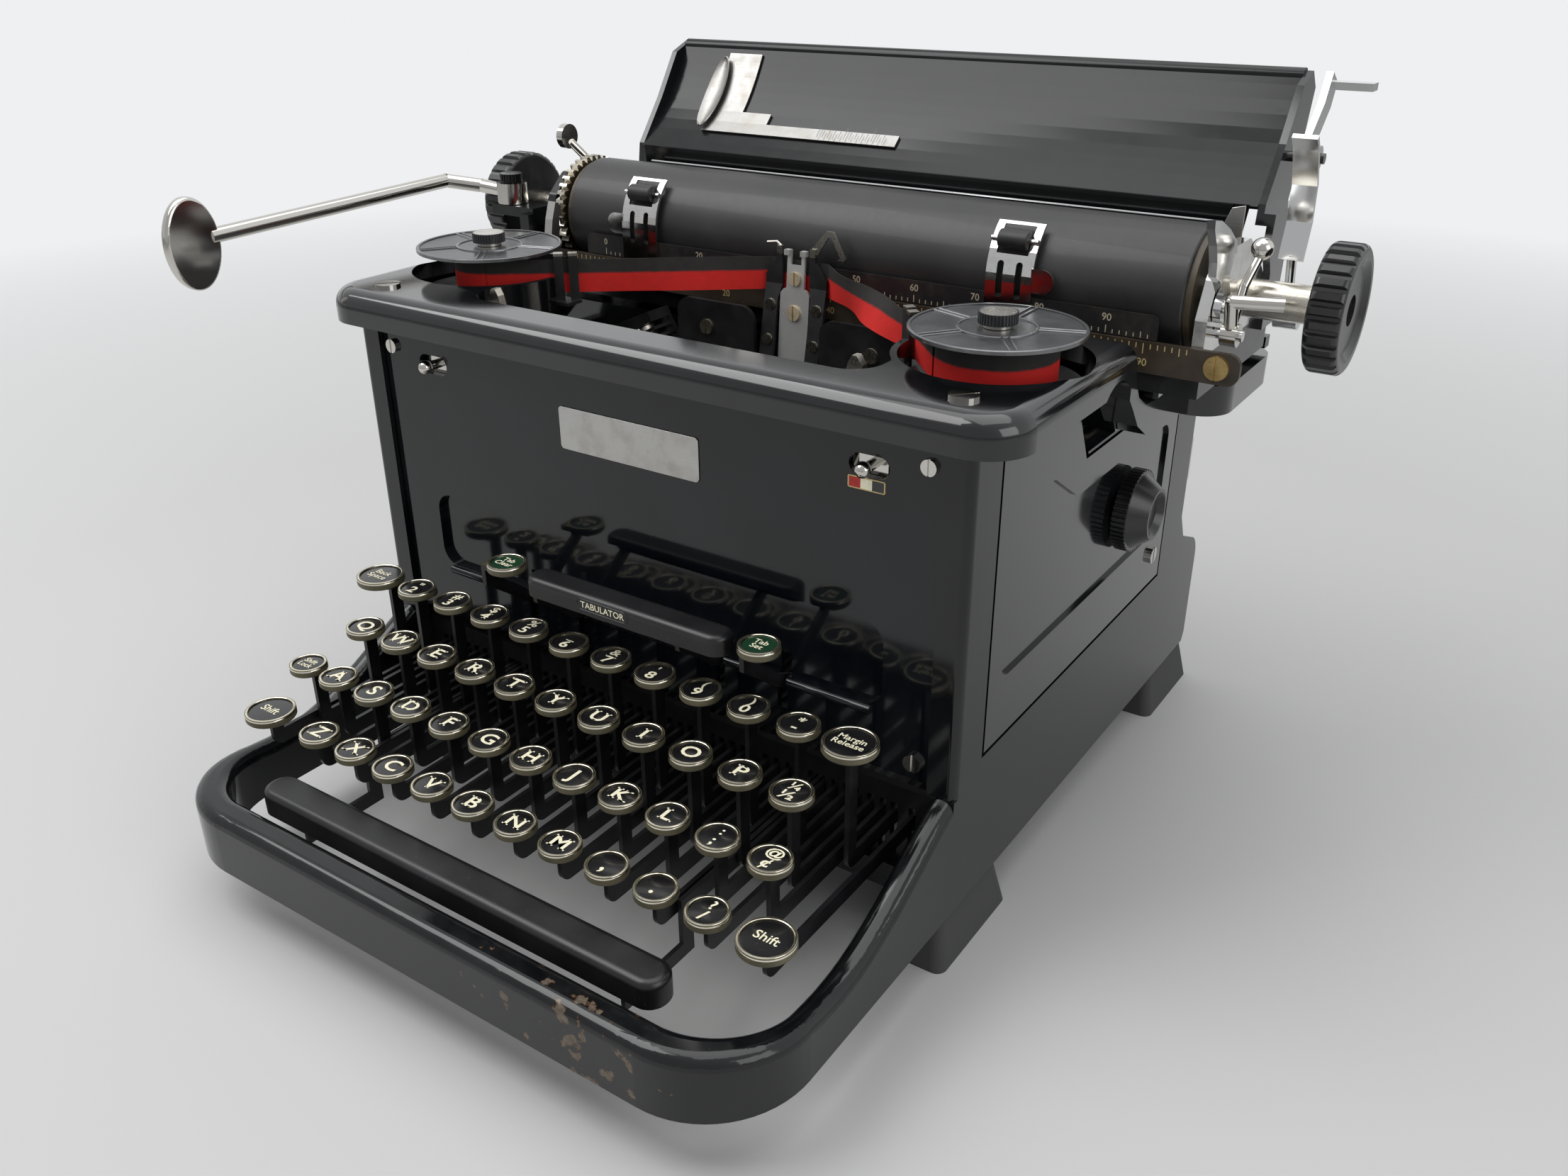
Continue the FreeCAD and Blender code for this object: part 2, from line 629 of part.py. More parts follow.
def front_panel():
    """Front panel with its recess, key slots and stud slots."""
    half = HALF_WIDTH - FLANGE_WIDTH - 0.4
    top = LIP_Z - HANG
    plate = box((-half, half), (FACE_Y, FACE_Y + FACE_T), (FACE_BOTTOM_Z, top))
    window = box((-RECESS_HALF, RECESS_HALF), (FACE_Y - 1, FACE_Y + FACE_T + 1), RECESS_Z)
    window = rounded(window, RECESS_ROUND, V(0, 1, 0))
    tray = box((-RECESS_HALF - 3, RECESS_HALF + 3), (FACE_Y + FACE_T, FACE_Y + FACE_T + TRAY_T),
               (RECESS_Z[0] - 3, RECESS_Z[1] + 3))
    tray = rounded(tray, RECESS_ROUND + 3, V(0, 1, 0))
    ridge = rod((-RECESS_HALF + 4, FACE_Y, RECESS_Z[0] - RIDGE_R - 0.5),
                (RECESS_HALF - 4, FACE_Y, RECESS_Z[0] - RIDGE_R - 0.5), RIDGE_R)
    panel = fused([plate.cut(window), tray, ridge])
    slots = []
    for x in (TAB_CLEAR_STEM_X, TAB_SET_STEM_X) + TAB_BAR_STEM_X:
        slots.append(box((x - TAB_SLOT_W / 2, x + TAB_SLOT_W / 2), (FACE_Y - 3, FACE_Y + 6), TAB_SLOT_Z))
    half_slot = STUD_TRAVEL + STUD_SLOT_HEIGHT / 2
    for side in (-1, 1):
        slot = box((side * STUD_X - half_slot, side * STUD_X + half_slot), (FACE_Y - 1, FACE_Y + 6),
                   (STUD_Z - STUD_SLOT_HEIGHT / 2, STUD_Z + STUD_SLOT_HEIGHT / 2))
        slots.append(rounded(slot, STUD_SLOT_HEIGHT / 2 - 0.05, V(0, 1, 0)))
    return panel.cut(group(slots))


def top_cover():
    """Cover with a rolled lip, two spool wells and the opening over the type basket."""
    shell = box((-COVER_HALF, COVER_HALF), (COVER_FRONT_Y, COVER_REAR_Y), (LIP_Z, COVER_TOP_Z))
    shell = rounded(shell, COVER_CORNER, V(0, 0, 1), lambda p: p.y < COVER_FRONT_Y + 1)
    rim = [edge for edge in shell.Edges
           if edge.BoundBox.ZMin > COVER_TOP_Z - 0.01 and edge.BoundBox.YMin < COVER_REAR_Y - 1]
    shell = shell.makeFillet(COVER_ROLL, rim)
    under = box((-COVER_HALF + LIP_T, COVER_HALF - LIP_T), (COVER_FRONT_Y + LIP_T, COVER_REAR_Y + 1),
                (LIP_Z - 1, COVER_TOP_Z - COVER_TOP_T))
    under = rounded(under, COVER_CORNER - LIP_T, V(0, 0, 1), lambda p: p.y < COVER_FRONT_Y + LIP_T + 1)
    cups = [Part.makeCylinder(WELL_R + 2.2, COVER_TOP_Z - LIP_Z, V(side * WELL_X, WELL_Y, LIP_Z))
            for side in (-1, 1)]
    shell = shell.cut(under.cut(group(cups)))
    opening = box((-OPENING_HALF, OPENING_HALF), (OPENING_FRONT_Y, COVER_REAR_Y + 1),
                  (LIP_Z - 1, COVER_TOP_Z + 1))
    opening = rounded(opening, OPENING_ROUND, V(0, 0, 1), lambda p: p.y < OPENING_FRONT_Y + 1)
    cuts = [opening.cut(group(cups))]
    for side in (-1, 1):
        cuts.append(Part.makeCylinder(WELL_R, COVER_TOP_Z, V(side * WELL_X, WELL_Y, LIP_Z + WELL_FLOOR)))
        cuts.append(Part.makeCylinder(SPINDLE_R + SLIP, 10.0, V(side * WELL_X, WELL_Y, LIP_Z - 2)))
        cuts.append(rod((side * (COVER_HALF - LIP_T - 2), ARCH_Y, LIP_Z - ARCH_R + 4),
                        (side * (COVER_HALF + 2), ARCH_Y, LIP_Z - ARCH_R + 4), ARCH_R))
        exit_y = (WELL_Y + 0.5, COVER_REAR_Y + 1)
        exit_x = sorted((side * (WELL_X - WELL_R - 4.0), side * (WELL_X - 12.0)))
        cuts.append(box(exit_x, exit_y, (LIP_Z + WELL_FLOOR, COVER_TOP_Z + 1)))
    return shell.cut(group(cuts))


def bed_lip(side):
    """Side lip of the bed, which sweeps up to meet the top cover."""
    top = [(COVER_REAR_Y + HANG, COVER_TOP_Z - 5.0), (-27.0, 183.0), (-22.0, 175.5), (-14.0, 171.0),
           (-4.0, BED_TOP_Z), (BED_REAR_Y, BED_TOP_Z)]
    low = [(BED_REAR_Y, BED_Z), (2.0, BED_Z), (-11.0, 159.5), (-20.0, 165.0), (-26.0, 172.0),
           (COVER_REAR_Y + HANG, 177.0)]
    lip = prism(top + low, "x", BED_LIP_X, BED_HALF)
    lip = rounded(lip, BED_CORNER * 0.7, V(0, 0, 1), lambda p: p.x > BED_HALF - 1 and p.y > BED_REAR_Y - 1)
    return lip if side > 0 else mirrored(lip)


def carriage_bed():
    """Casting that carries the rails: its plate, the two sides with their wings, and the rails."""
    plate = box((-BED_LIP_X, BED_LIP_X), (BED_FRONT_Y, BED_REAR_Y), (BED_Z + HANG, BED_TOP_Z))
    wing = box((BED_LIP_X, WING_HALF), WING_Y, (BED_Z + 2.0, BED_TOP_Z))
    wing = rounded(wing, WING_ROUND, V(0, 0, 1), lambda p: p.x > WING_HALF - 1)
    runners = []
    for side in (-1, 1):
        tab_x = sorted((side * (RUNNER_X - 2.0), side * (RUNNER_X + 2.0)))
        runners.append(box(tab_x, (RUNNER_Y - 2.0, BED_FRONT_Y + 1), (161.0, RUNNER_Z[1])))
        runners.append(rod((side * RUNNER_X, RUNNER_Y, RUNNER_Z[0]), (side * RUNNER_X, RUNNER_Y, RUNNER_Z[1]),
                           RUNNER_R))
    plate = fused([plate] + runners)
    drive_window = box((-WHEEL_R - 6, WHEEL_R + 6), (RACK_Y[0] - 4, RACK_Y[1] + 16),
                       (BED_Z - 1, BED_TOP_Z + 1))
    feed_window = box((-90.0, 90.0), (10.0, 44.0), (BED_Z - 1, BED_TOP_Z + 1))
    bearing = rod((0, WHEEL_SHAFT_Y[0] - 1, PINION_Z), (0, BED_REAR_Y + 1, PINION_Z), WHEEL_SHAFT_R + SLIP)
    plate = plate.cut(group([drive_window, rounded(feed_window, 8.0, V(0, 0, 1)), bearing]))
    rail_x = (-BED_HALF + 2, BED_HALF - 2)
    rails = [box(rail_x, (y, y + RAIL_W), (BED_TOP_Z, BED_TOP_Z + RAIL_H))
             for y in (FRONT_RAIL_Y, REAR_RAIL_Y)]
    return group([plate, fused([bed_lip(1), wing]), fused([bed_lip(-1), mirrored(wing)])] + rails)


def rear_cover():
    """Plate over the rear window, with the drum's stud and the escapement's bearing."""
    half = REAR_WINDOW_HALF + 5.0
    plate = box((-half, half), (WALL_REAR_Y, WALL_REAR_Y + 2.0),
                (REAR_WINDOW_Z[0] + 4.0, REAR_WINDOW_Z[1] + 5.0))
    plate = rounded(plate, 8.0, V(0, 1, 0))
    vents = [box((x, x + 4.0), (WALL_REAR_Y - 1, WALL_REAR_Y + 3), (100.0, 138.0))
             for x in (-30.0, -18.0, -6.0, 6.0, 18.0, 30.0)]
    stud = rod((DRUM_X, WALL_REAR_Y + 2.0, DRUM_Z), (DRUM_X, WALL_REAR_Y + 5.0 + DRUM_T, DRUM_Z), 4.0)
    return fused([plate.cut(group(vents)), stud])


def rubber_feet():
    """Four tapered rubber blocks."""
    feet = []
    for sx in (-1, 1):
        for sy in (-1, 1):
            x = (sx * FOOT_X - FOOT_WIDTH / 2, sx * FOOT_X + FOOT_WIDTH / 2)
            y = (sy * FOOT_Y - FOOT_LENGTH / 2, sy * FOOT_Y + FOOT_LENGTH / 2)
            sole = Part.makePolygon([V(x[0], y[0], 0), V(x[1], y[0], 0), V(x[1], y[1], 0),
                                     V(x[0], y[1], 0), V(x[0], y[0], 0)])
            t = FOOT_TAPER
            top = Part.makePolygon([V(x[0] + t, y[0] + t, BASE_Z), V(x[1] - t, y[0] + t, BASE_Z),
                                    V(x[1] - t, y[1] - t, BASE_Z), V(x[0] + t, y[1] - t, BASE_Z),
                                    V(x[0] + t, y[0] + t, BASE_Z)])
            block = Part.makeLoft([sole, top], True)
            corners = [e for e in block.Edges if e.BoundBox.ZLength > BASE_Z / 2]
            block = block.makeFillet(4.0, corners)
            bore = Part.makeCylinder(BOLT_R, BASE_Z + 2, V(sx * FOOT_X, sy * FOOT_Y, -1))
            feet.append(block.cut(bore))
    return group(feet)


def frame_hardware():
    """Screws of the cover, front panel, rear cover and right panel, and the rear latches."""
    pieces = []
    for side in (-1, 1):
        pieces.append(slotted_screw(side * (HALF_WIDTH - 8.9), FACE_Y + 6.3, COVER_TOP_Z, (0, 0, 1), 4.6, 1.0,
                                    1.0))
        pieces.append(slotted_screw(side * (HALF_WIDTH - 15.1), FACE_Y, 175.5, (0, -1, 0), 2.6, 1.4, 0.7))
        pieces.append(slotted_screw(side * (HALF_WIDTH - 16.1), FACE_Y, 74.5, (0, -1, 0), 3.2, 1.6, 0.8))
        for z in (REAR_WINDOW_Z[0] + 8.0, REAR_WINDOW_Z[1] + 1.0):
            pieces.append(slotted_screw(side * (REAR_WINDOW_HALF + 1.0), WALL_REAR_Y + 2.0, z,
                                        (0, 1, 0), 3.0, 1.6, 0.8))
        latch_x = side * (HALF_WIDTH - WALL / 2.0)
        latch = box((latch_x - 2.4, latch_x + 2.4), (WALL_REAR_Y, WALL_REAR_Y + 1.6), (108.0, 126.0))
        eye = rod((latch_x, WALL_REAR_Y - 1, 113.0), (latch_x, WALL_REAR_Y + 3, 113.0), 1.3)
        catch = box((latch_x - 1.5, latch_x + 1.5), (WALL_REAR_Y + 1.6, WALL_REAR_Y + 4.5), (117.0, 124.0))
        pieces.append(fused([latch.cut(eye), catch]))
    pieces.append(slotted_screw(HALF_WIDTH, 50.0, 88.0, (1, 0, 0), 3.4, 1.6, 0.8))
    return group(pieces)


# ------------------------------------------------------------------ keyboard
def lever_plate(x, front_y):
    """Flat key lever from its hub on the fulcrum rod to the front."""
    half = LEVER_T / 2
    bar = box((x - half, x + half), (front_y, FULCRUM_Y), LEVER_Z)
    bar = rounded(bar, LEVER_ROUND, V(1, 0, 0), lambda p: p.y < front_y + 0.1 and p.z < LEVER_Z[0] + 0.1)
    hub = rod((x - half, FULCRUM_Y, FULCRUM_Z), (x + half, FULCRUM_Y, FULCRUM_Z), HUB_R)
    bore = rod((x - 2, FULCRUM_Y, FULCRUM_Z), (x + 2, FULCRUM_Y, FULCRUM_Z), FULCRUM_R + SLIP)
    return fused([bar, hub]).cut(bore)


def button(x, y, top_z, radius):
    """Ringed key button with a dished seat for its face."""
    body = Part.makeCylinder(radius, BUTTON_H, V(x, y, top_z - BUTTON_H))
    lower = [e for e in body.Edges if e.BoundBox.ZMax < top_z - BUTTON_H + 0.01]
    body = body.makeFillet(0.5, lower)
    dish = Part.makeCylinder(radius - BUTTON_RIM, BUTTON_DISH + 1, V(x, y, top_z - BUTTON_DISH))
    return body.cut(dish)


def key(lever_x, key_x, key_y, top_z, radius):
    """One key: a lever with its stem, and its button."""
    half = LEVER_T / 2
    front_y = key_y - STEM_FRONT
    stem_y = (front_y, front_y + STEM_DEPTH)
    stem_top = top_z - BUTTON_H
    crank_z = stem_top - CRANK_T
    pieces = [lever_plate(lever_x, front_y), box((lever_x - half, lever_x + half), stem_y,
                                                 (LEVER_Z[1] - 0.5, stem_top))]
    if abs(key_x - lever_x) > radius / 3:
        reach = (min(lever_x - half, key_x - 2), max(lever_x + half, key_x + 2))
        pieces.append(box(reach, stem_y, (crank_z, stem_top)))
    return [fused(pieces), button(key_x, key_y, top_z, radius)]


def bank_place(bank):
    """Y and top Z of a bank, counted from the bottom bank."""
    return BOTTOM_BANK_Y + bank * BANK_PITCH_Y, BOTTOM_BANK_Z + bank * BANK_PITCH_Z


BANK_KEYS = {"bottom": (0, 3, 10), "home": (1, 1, 11), "upper": (2, 0, 11), "number": (3, 2, 10)}
LONE_KEY = ("upper", 5)


def bank_x(name, index):
    """X of one typing key."""
    first = BANK_KEYS[name][1]
    return KEY_X0 + first * KEY_STAGGER + index * KEY_PITCH


def key_bank(name):
    """Every key of one bank but the lone key."""
    bank, _, count = BANK_KEYS[name]
    y, top_z = bank_place(bank)
    solids = []
    for index in range(count):
        if (name, index) != LONE_KEY:
            x = bank_x(name, index)
            solids += key(x, x, y, top_z, BUTTON_R)
    return group(solids)


def lone_key():
    """The typing key that is linked to its own type bar."""
    y, top_z = bank_place(BANK_KEYS[LONE_KEY[0]][0])
    x = bank_x(*LONE_KEY)
    return group(key(x, x, y, top_z, BUTTON_R))


def special_key(lever_x, key_x, bank, radius):
    """A control key that lines up with one of the banks."""
    y, top_z = bank_place(bank)
    return key(lever_x, key_x, y, top_z, radius)


def space_bar():
    """Space bar on two posts, each on its own lever."""
    bar = box(SPACE_X, SPACE_Y, SPACE_Z)
    width = SPACE_Y[1] - SPACE_Y[0]
    bar = rounded(bar, width / 2 - 0.3, V(0, 0, 1))
    top = [e for e in bar.Edges if e.BoundBox.ZMin > SPACE_Z[1] - 0.01]
    bar = bar.makeFillet(2.6, top)
    solids = [bar]
    middle = sum(SPACE_Y) / 2
    for x in SPACE_LEVER_X:
        half = LEVER_T / 2
        riser_y = BOTTOM_BANK_Y + BUTTON_R + SPACE_RISER_GAP
        lever = lever_plate(x, riser_y)
        post = box((x - half, x + half), (middle - 3, middle + 3), (SPACE_FOOT_Z[0], SPACE_Z[0]))
        foot = box((x - half, x + half), (middle - 3, riser_y + SPACE_RISER_W), SPACE_FOOT_Z)
        riser = box((x - half, x + half), (riser_y, riser_y + SPACE_RISER_W),
                    (SPACE_FOOT_Z[0], LEVER_Z[1] - 0.5))
        solids.append(fused([lever, post, foot, riser]))
    return group(solids)


def tab_arm(x, top_z):
    """Stem of a tabulator key, through the panel's slot to the pivot rod."""
    half = TAB_STEM_T / 2
    line = [(TAB_Y, top_z), (TAB_Y, 103.4), (TAB_Y + 5.0, 100.0), (TAB_Y + 11.0, 95.5),
            (FACE_Y - 4.0, 90.5), (FACE_Y + 6.0, 86.0), (TAB_PIVOT_Y, TAB_PIVOT_Z)]
    arm = strip(line, 4.5, "x", x - half, x + half)
    hub = rod((x - half, TAB_PIVOT_Y, TAB_PIVOT_Z), (x + half, TAB_PIVOT_Y, TAB_PIVOT_Z), HUB_R)
    bore = rod((x - 3, TAB_PIVOT_Y, TAB_PIVOT_Z), (x + 3, TAB_PIVOT_Y, TAB_PIVOT_Z), FULCRUM_R + SLIP)
    return fused([arm, hub]).cut(bore)


def tabulator_bar():
    """Long tabulator bar on two arms."""
    bar = box(TAB_BAR_X, (TAB_Y - TAB_BAR_W / 2, TAB_Y + TAB_BAR_W / 2), (TAB_TOP_Z - TAB_BAR_H, TAB_TOP_Z))
    bar = rounded(bar, TAB_BAR_W / 2 - 0.3, V(0, 0, 1))
    top = [e for e in bar.Edges if e.BoundBox.ZMin > TAB_TOP_Z - 0.01]
    bar = bar.makeFillet(2.2, top)
    arms = [tab_arm(x, TAB_TOP_Z - TAB_BAR_H) for x in TAB_BAR_STEM_X]
    return group([bar] + arms)


def tab_key(x, stem_x):
    """Small tabulator key on one arm, which may stand to one side of it."""
    top = TAB_TOP_Z - BUTTON_H
    reach = sorted((x + 2.0 * (1 if x > stem_x else -1), stem_x - TAB_STEM_T / 2 * (1 if x > stem_x else -1)))
    crank = box(reach, (TAB_Y - 2.2, TAB_Y + 2.2), (top - CRANK_T, top))
    return group([button(x, TAB_Y, TAB_TOP_Z, TAB_KEY_R), fused([tab_arm(stem_x, top), crank])])


def lever_places():
    """X of every lever that passes the comb."""
    places = [bank_x(name, index) for name in BANK_KEYS for index in range(BANK_KEYS[name][2])]
    places += list(SPACE_LEVER_X)
    places += [-SHIFT_X, SHIFT_X, SHIFT_LOCK_LEVER_X, BACKSPACE_LEVER_X, MARGIN_KEY_X]
    return sorted(places)


def key_rack():
    """Comb, fulcrum rod and tabulator pivot rod."""
    inside = HALF_WIDTH - WALL
    comb = box((-inside + 5, inside - 5), (COMB_Y - COMB_T / 2, COMB_Y + COMB_T / 2), COMB_Z)
    slots = [box((x - COMB_SLOT_W / 2, x + COMB_SLOT_W / 2), (COMB_Y - 5, COMB_Y + 5), COMB_SLOT_Z)
             for x in lever_places()]
    comb = comb.cut(group(slots))
    fulcrum = rod((-inside, FULCRUM_Y, FULCRUM_Z), (inside, FULCRUM_Y, FULCRUM_Z), FULCRUM_R)
    pivot = rod((-inside, TAB_PIVOT_Y, TAB_PIVOT_Z), (inside, TAB_PIVOT_Y, TAB_PIVOT_Z), FULCRUM_R)
    return group([comb, fulcrum, pivot])


# ------------------------------------------------------------------ type basket
def bar_directions(index):
    """Outward, forward and sideways directions of one type bar's swing plane."""
    angle = radians((index - (BAR_COUNT - 1) / 2.0) * BAR_STEP)
    outward = V(sin(angle), 0, -cos(angle))
    sideways = V(cos(angle), 0, sin(angle))
    return outward, V(0, -1, 0), sideways


def type_bar(index):
    """One type bar at rest, with its slug."""
    outward, forward, sideways = bar_directions(index)
    swing = radians(BAR_SWING)
    along = outward * -cos(swing) + forward * sin(swing)
    across = along.cross(sideways)
    pivot = V(0, BAR_PIVOT_Y, PRINT_Z) + outward * BAR_LENGTH
    stem = BAR_LENGTH - 3.0
    bar = box((0, stem), (-BAR_W / 2, BAR_W / 2), (-BAR_T / 2, BAR_T / 2))
    hub = Part.makeCylinder(4.2, BAR_T, V(0, 0, -BAR_T / 2))
    reach = abs(BAR_PIVOT_Y - PRINT_Y) - HANG
    slug = box((BAR_LENGTH - 2.8, BAR_LENGTH + SLUG_H - 2.8), (-BAR_W / 2, reach), (-SLUG_T / 2, SLUG_T / 2))
    neck = box((stem - 6, BAR_LENGTH), (-BAR_W / 2, BAR_W / 2), (-BAR_T / 2, BAR_T / 2))
    bore = Part.makeCylinder(WIRE_R + SLIP * 2, 4.0, V(0, 0, -2.0))
    shape = fused([bar, hub, neck, slug]).cut(bore)
    return placed(shape, pivot, along, across, sideways.negative())


def type_bars():
    """Every type bar but the active one."""
    return group([type_bar(index) for index in range(BAR_COUNT) if index != ACTIVE_BAR])


def sector(inner, outer, y, half_angle):
    """Part of a ring round the printing point, below it."""
    steps = 25
    outside = arc_points((0.0, PRINT_Z), outer, -90.0 - half_angle, -90.0 + half_angle, steps)
    inside = arc_points((0.0, PRINT_Z), inner, -90.0 + half_angle, -90.0 - half_angle, steps)
    return prism(outside + inside, "y", y[0], y[1])


def type_segment():
    """Slotted segment with the pivot wire, its face plates and its mounting foot."""
    ring = sector(SEGMENT_R[0], SEGMENT_R[1], SEGMENT_Y, SEGMENT_HALF_ANGLE)
    slots = []
    for index in range(BAR_COUNT):
        outward, forward, sideways = bar_directions(index)
        cut = box((SEGMENT_R[0] - 2, SEGMENT_R[1] + 2), (-5.2, 12.0), (-SEGMENT_SLOT / 2, SEGMENT_SLOT / 2))
        centre = V(0, BAR_PIVOT_Y, PRINT_Z)
        slots.append(placed(cut, centre, outward, forward, sideways.negative()))
    ring = ring.cut(group(slots))
    stations = [V(BAR_LENGTH * sin(a), BAR_PIVOT_Y, PRINT_Z - BAR_LENGTH * cos(a))
                for a in (radians(-65.0), 0.0, radians(65.0))]
    wire_circle = Part.Arc(*stations).toShape()
    start = wire_circle.valueAt(wire_circle.FirstParameter)
    way = wire_circle.tangentAt(wire_circle.FirstParameter)
    profile = Part.Wire(Part.makeCircle(WIRE_R, start, way))
    wire = Part.Wire(wire_circle).makePipeShell([profile], True, True)
    plates = []
    for side in (-1, 1):
        x = sorted((side * WING_PLATE_X[0], side * WING_PLATE_X[1]))
        plate = rounded(box(x, WING_PLATE_Y, WING_PLATE_Z), 6.0, V(0, 1, 0),
                        lambda p: p.z > WING_PLATE_Z[1] - 1)
        plates.append(plate.common(rod((0, WING_PLATE_Y[0], PRINT_Z), (0, WING_PLATE_Y[1], PRINT_Z),
                                       SEGMENT_R[0] + 0.5)))
        plates.append(slotted_screw(side * 37.5, WING_PLATE_Y[0], 172.6, (0, -1, 0), 2.9, 1.0, 0.8))
    return fused([ring, wire] + plates)


def type_guide():
    """Centre guide: a bright plate with two lugs and a notch at the printing point."""
    slope = [(GUIDE_TOP_Y + GUIDE_T / 2, GUIDE_TOP_Z), (GUIDE_BEND_Y + GUIDE_T / 2, GUIDE_BEND_Z),
             (GUIDE_BEND_Y + GUIDE_T / 2, GUIDE_FOOT_Z)]
    plate = strip(slope, GUIDE_T, "x", -GUIDE_HALF, GUIDE_HALF)
    outline = [(-GUIDE_HALF, GUIDE_FOOT_Z - 1), (GUIDE_HALF, GUIDE_FOOT_Z - 1), (GUIDE_HALF, 189.0),
               (GUIDE_HALF - 1.2, GUIDE_SHOULDER_Z), (GUIDE_NECK_HALF, GUIDE_SHOULDER_Z + 0.6),
               (GUIDE_NECK_HALF, GUIDE_TOP_Z + 1), (-GUIDE_NECK_HALF, GUIDE_TOP_Z + 1),
               (-GUIDE_NECK_HALF, GUIDE_SHOULDER_Z + 0.6), (-GUIDE_HALF + 1.2, GUIDE_SHOULDER_Z),
               (-GUIDE_HALF, 189.0)]
    plate = plate.common(prism(outline, "y", -30.0, -5.0))
    lugs = box((-GUIDE_LUG_HALF, GUIDE_LUG_HALF), (GUIDE_TOP_Y - 1.4, GUIDE_TOP_Y + 0.9),
               (GUIDE_TOP_Z - 2.0, GUIDE_TOP_Z))
    notch = box((-GUIDE_NOTCH_HALF, GUIDE_NOTCH_HALF), (-20.0, -8.0), (GUIDE_NOTCH_Z, GUIDE_TOP_Z + 2))
    lean = (GUIDE_TOP_Y - GUIDE_BEND_Y) / (GUIDE_TOP_Z - GUIDE_BEND_Z)
    screws = []
    for z, radius in ((194.8, 2.6), (182.0, 2.9)):
        seat = GUIDE_TOP_Y - (GUIDE_TOP_Z - z) * lean + 0.3
        screws.append(slotted_screw(0.0, seat, z, (0, -1, 0), radius, 1.2, 0.7))
    return fused([fused([plate, lugs]).cut(notch)] + screws)


# ------------------------------------------------------------------ ribbon
def spool(side):
    """Ribbon spool: spindle, core, two flanges and a knurled nut."""
    x = side * WELL_X
    spindle = Part.makeCylinder(SPINDLE_R, NUT_TOP_Z - 3.0 - 178.0, V(x, WELL_Y, 178.0))
    core = Part.makeCylinder(SPOOL_CORE_R, SPOOL_TOP_Z - SPOOL_BOTTOM_Z, V(x, WELL_Y, SPOOL_BOTTOM_Z))
    flanges = [Part.makeCylinder(SPOOL_R, SPOOL_FLANGE_T, V(x, WELL_Y, z))
               for z in (SPOOL_BOTTOM_Z, SPOOL_TOP_Z - SPOOL_FLANGE_T)]
    neck = Part.makeCylinder(4.6, 2.0, V(x, WELL_Y, SPOOL_TOP_Z))
    nut = knurled_disc((x, WELL_Y, SPOOL_TOP_Z + 1.4), "z", NUT_R, NUT_TOP_Z - SPOOL_TOP_Z - 1.4, 36, 0.35)
    return fused([spindle, core, neck, nut] + flanges)


def ribbon_pack(side, radius):
    """Ribbon wound on a spool."""
    x = side * WELL_X
    height = RIBBON_Z[1] - RIBBON_Z[0]
    whole = Part.makeCylinder(radius, height, V(x, WELL_Y, RIBBON_Z[0]))
    return whole.cut(Part.makeCylinder(SPOOL_CORE_R, height, V(x, WELL_Y, RIBBON_Z[0])))


def ribbon_tangent(side, radius):
    """Point on the front of a pack where the ribbon leaves it for the nearer post."""
    post = (side * abs(POST_LEFT[1][0]), POST_LEFT[1][1] + POST_GAP)
    run = (post[0] - side * WELL_X, post[1] - WELL_Y)
    rise = atan2(run[1], abs(run[0])) + asin(radius / hypot(*run))
    return side * (WELL_X - radius * sin(rise)), WELL_Y - radius * cos(rise)


def ribbon_route():
    """Plan view of the ribbon from spool to spool, behind the posts."""
    left_start = ribbon_tangent(-1, PACK_R_LEFT + 0.4)
    right_end = ribbon_tangent(1, PACK_R_RIGHT + 0.4)
    return [left_start, (POST_LEFT[1][0], POST_LEFT[1][1] + POST_GAP), (-13.0, RIBBON_Y),
            (13.0, RIBBON_Y), (POST_RIGHT[1][0], POST_RIGHT[1][1] + POST_GAP), right_end]


def ribbon_span():
    """The free ribbon between the spools."""
    return strip(ribbon_route(), RIBBON_T, "z", RIBBON_Z[0], RIBBON_Z[1])


def guide_post(x, y, turn):
    """Flat post, turned in line with the ribbon, with its top bent back over it."""
    floor_z = LIP_Z + WELL_FLOOR
    post = box((x - POST_W / 2, x + POST_W / 2), (y - POST_T / 2, y + POST_T / 2), (floor_z, POST_TOP_Z))
    hook = box((x - POST_W / 2, x + POST_W / 2), (y - POST_T / 2, y + POST_T / 2 + 2.0),
               (POST_TOP_Z - 0.9, POST_TOP_Z))
    bar = fused([post, hook])
    bar.rotate(V(x, y, 0), V(0, 0, 1), turn)
    return bar


def reverse_tab(side):
    """Pointed tab of a ribbon reverse lever, hung from the underside of the cover."""
    y = (REVERSE_Y - 1.5, REVERSE_Y + 1.5)
    under = COVER_TOP_Z - COVER_TOP_T
    nib = prism([(side * 80.6, 187.0), (side * 71.4, 187.0), (side * 73.6, 195.4), (side * 75.0, 197.8),
                 (side * 76.6, 197.8), (side * 78.6, 195.0)], "y", y[0], y[1])
    arm = box(sorted((side * 75.0, side * 90.0)), y, (186.0, 188.5))
    hanger = box(sorted((side * 86.5, side * 90.0)), y, (187.0, under))
    return fused([nib, arm, hanger])


def ribbon_guides():
    """Guide posts with their feet on the cover, and the two ribbon reverse tabs."""
    floor_z = LIP_Z + WELL_FLOOR
    solids = []
    for posts, side in ((POST_LEFT, -1), (POST_RIGHT, 1)):
        foot = box(sorted((side * 69.8, side * 79.8)), (-65.0, -56.8), (floor_z, floor_z + 1.2))
        pieces = [foot]
        for x, y in posts:
            pieces.append(guide_post(x, y, -side * POST_TURN))
        solids.append(fused(pieces))
        solids.append(reverse_tab(side))
    return group(solids)


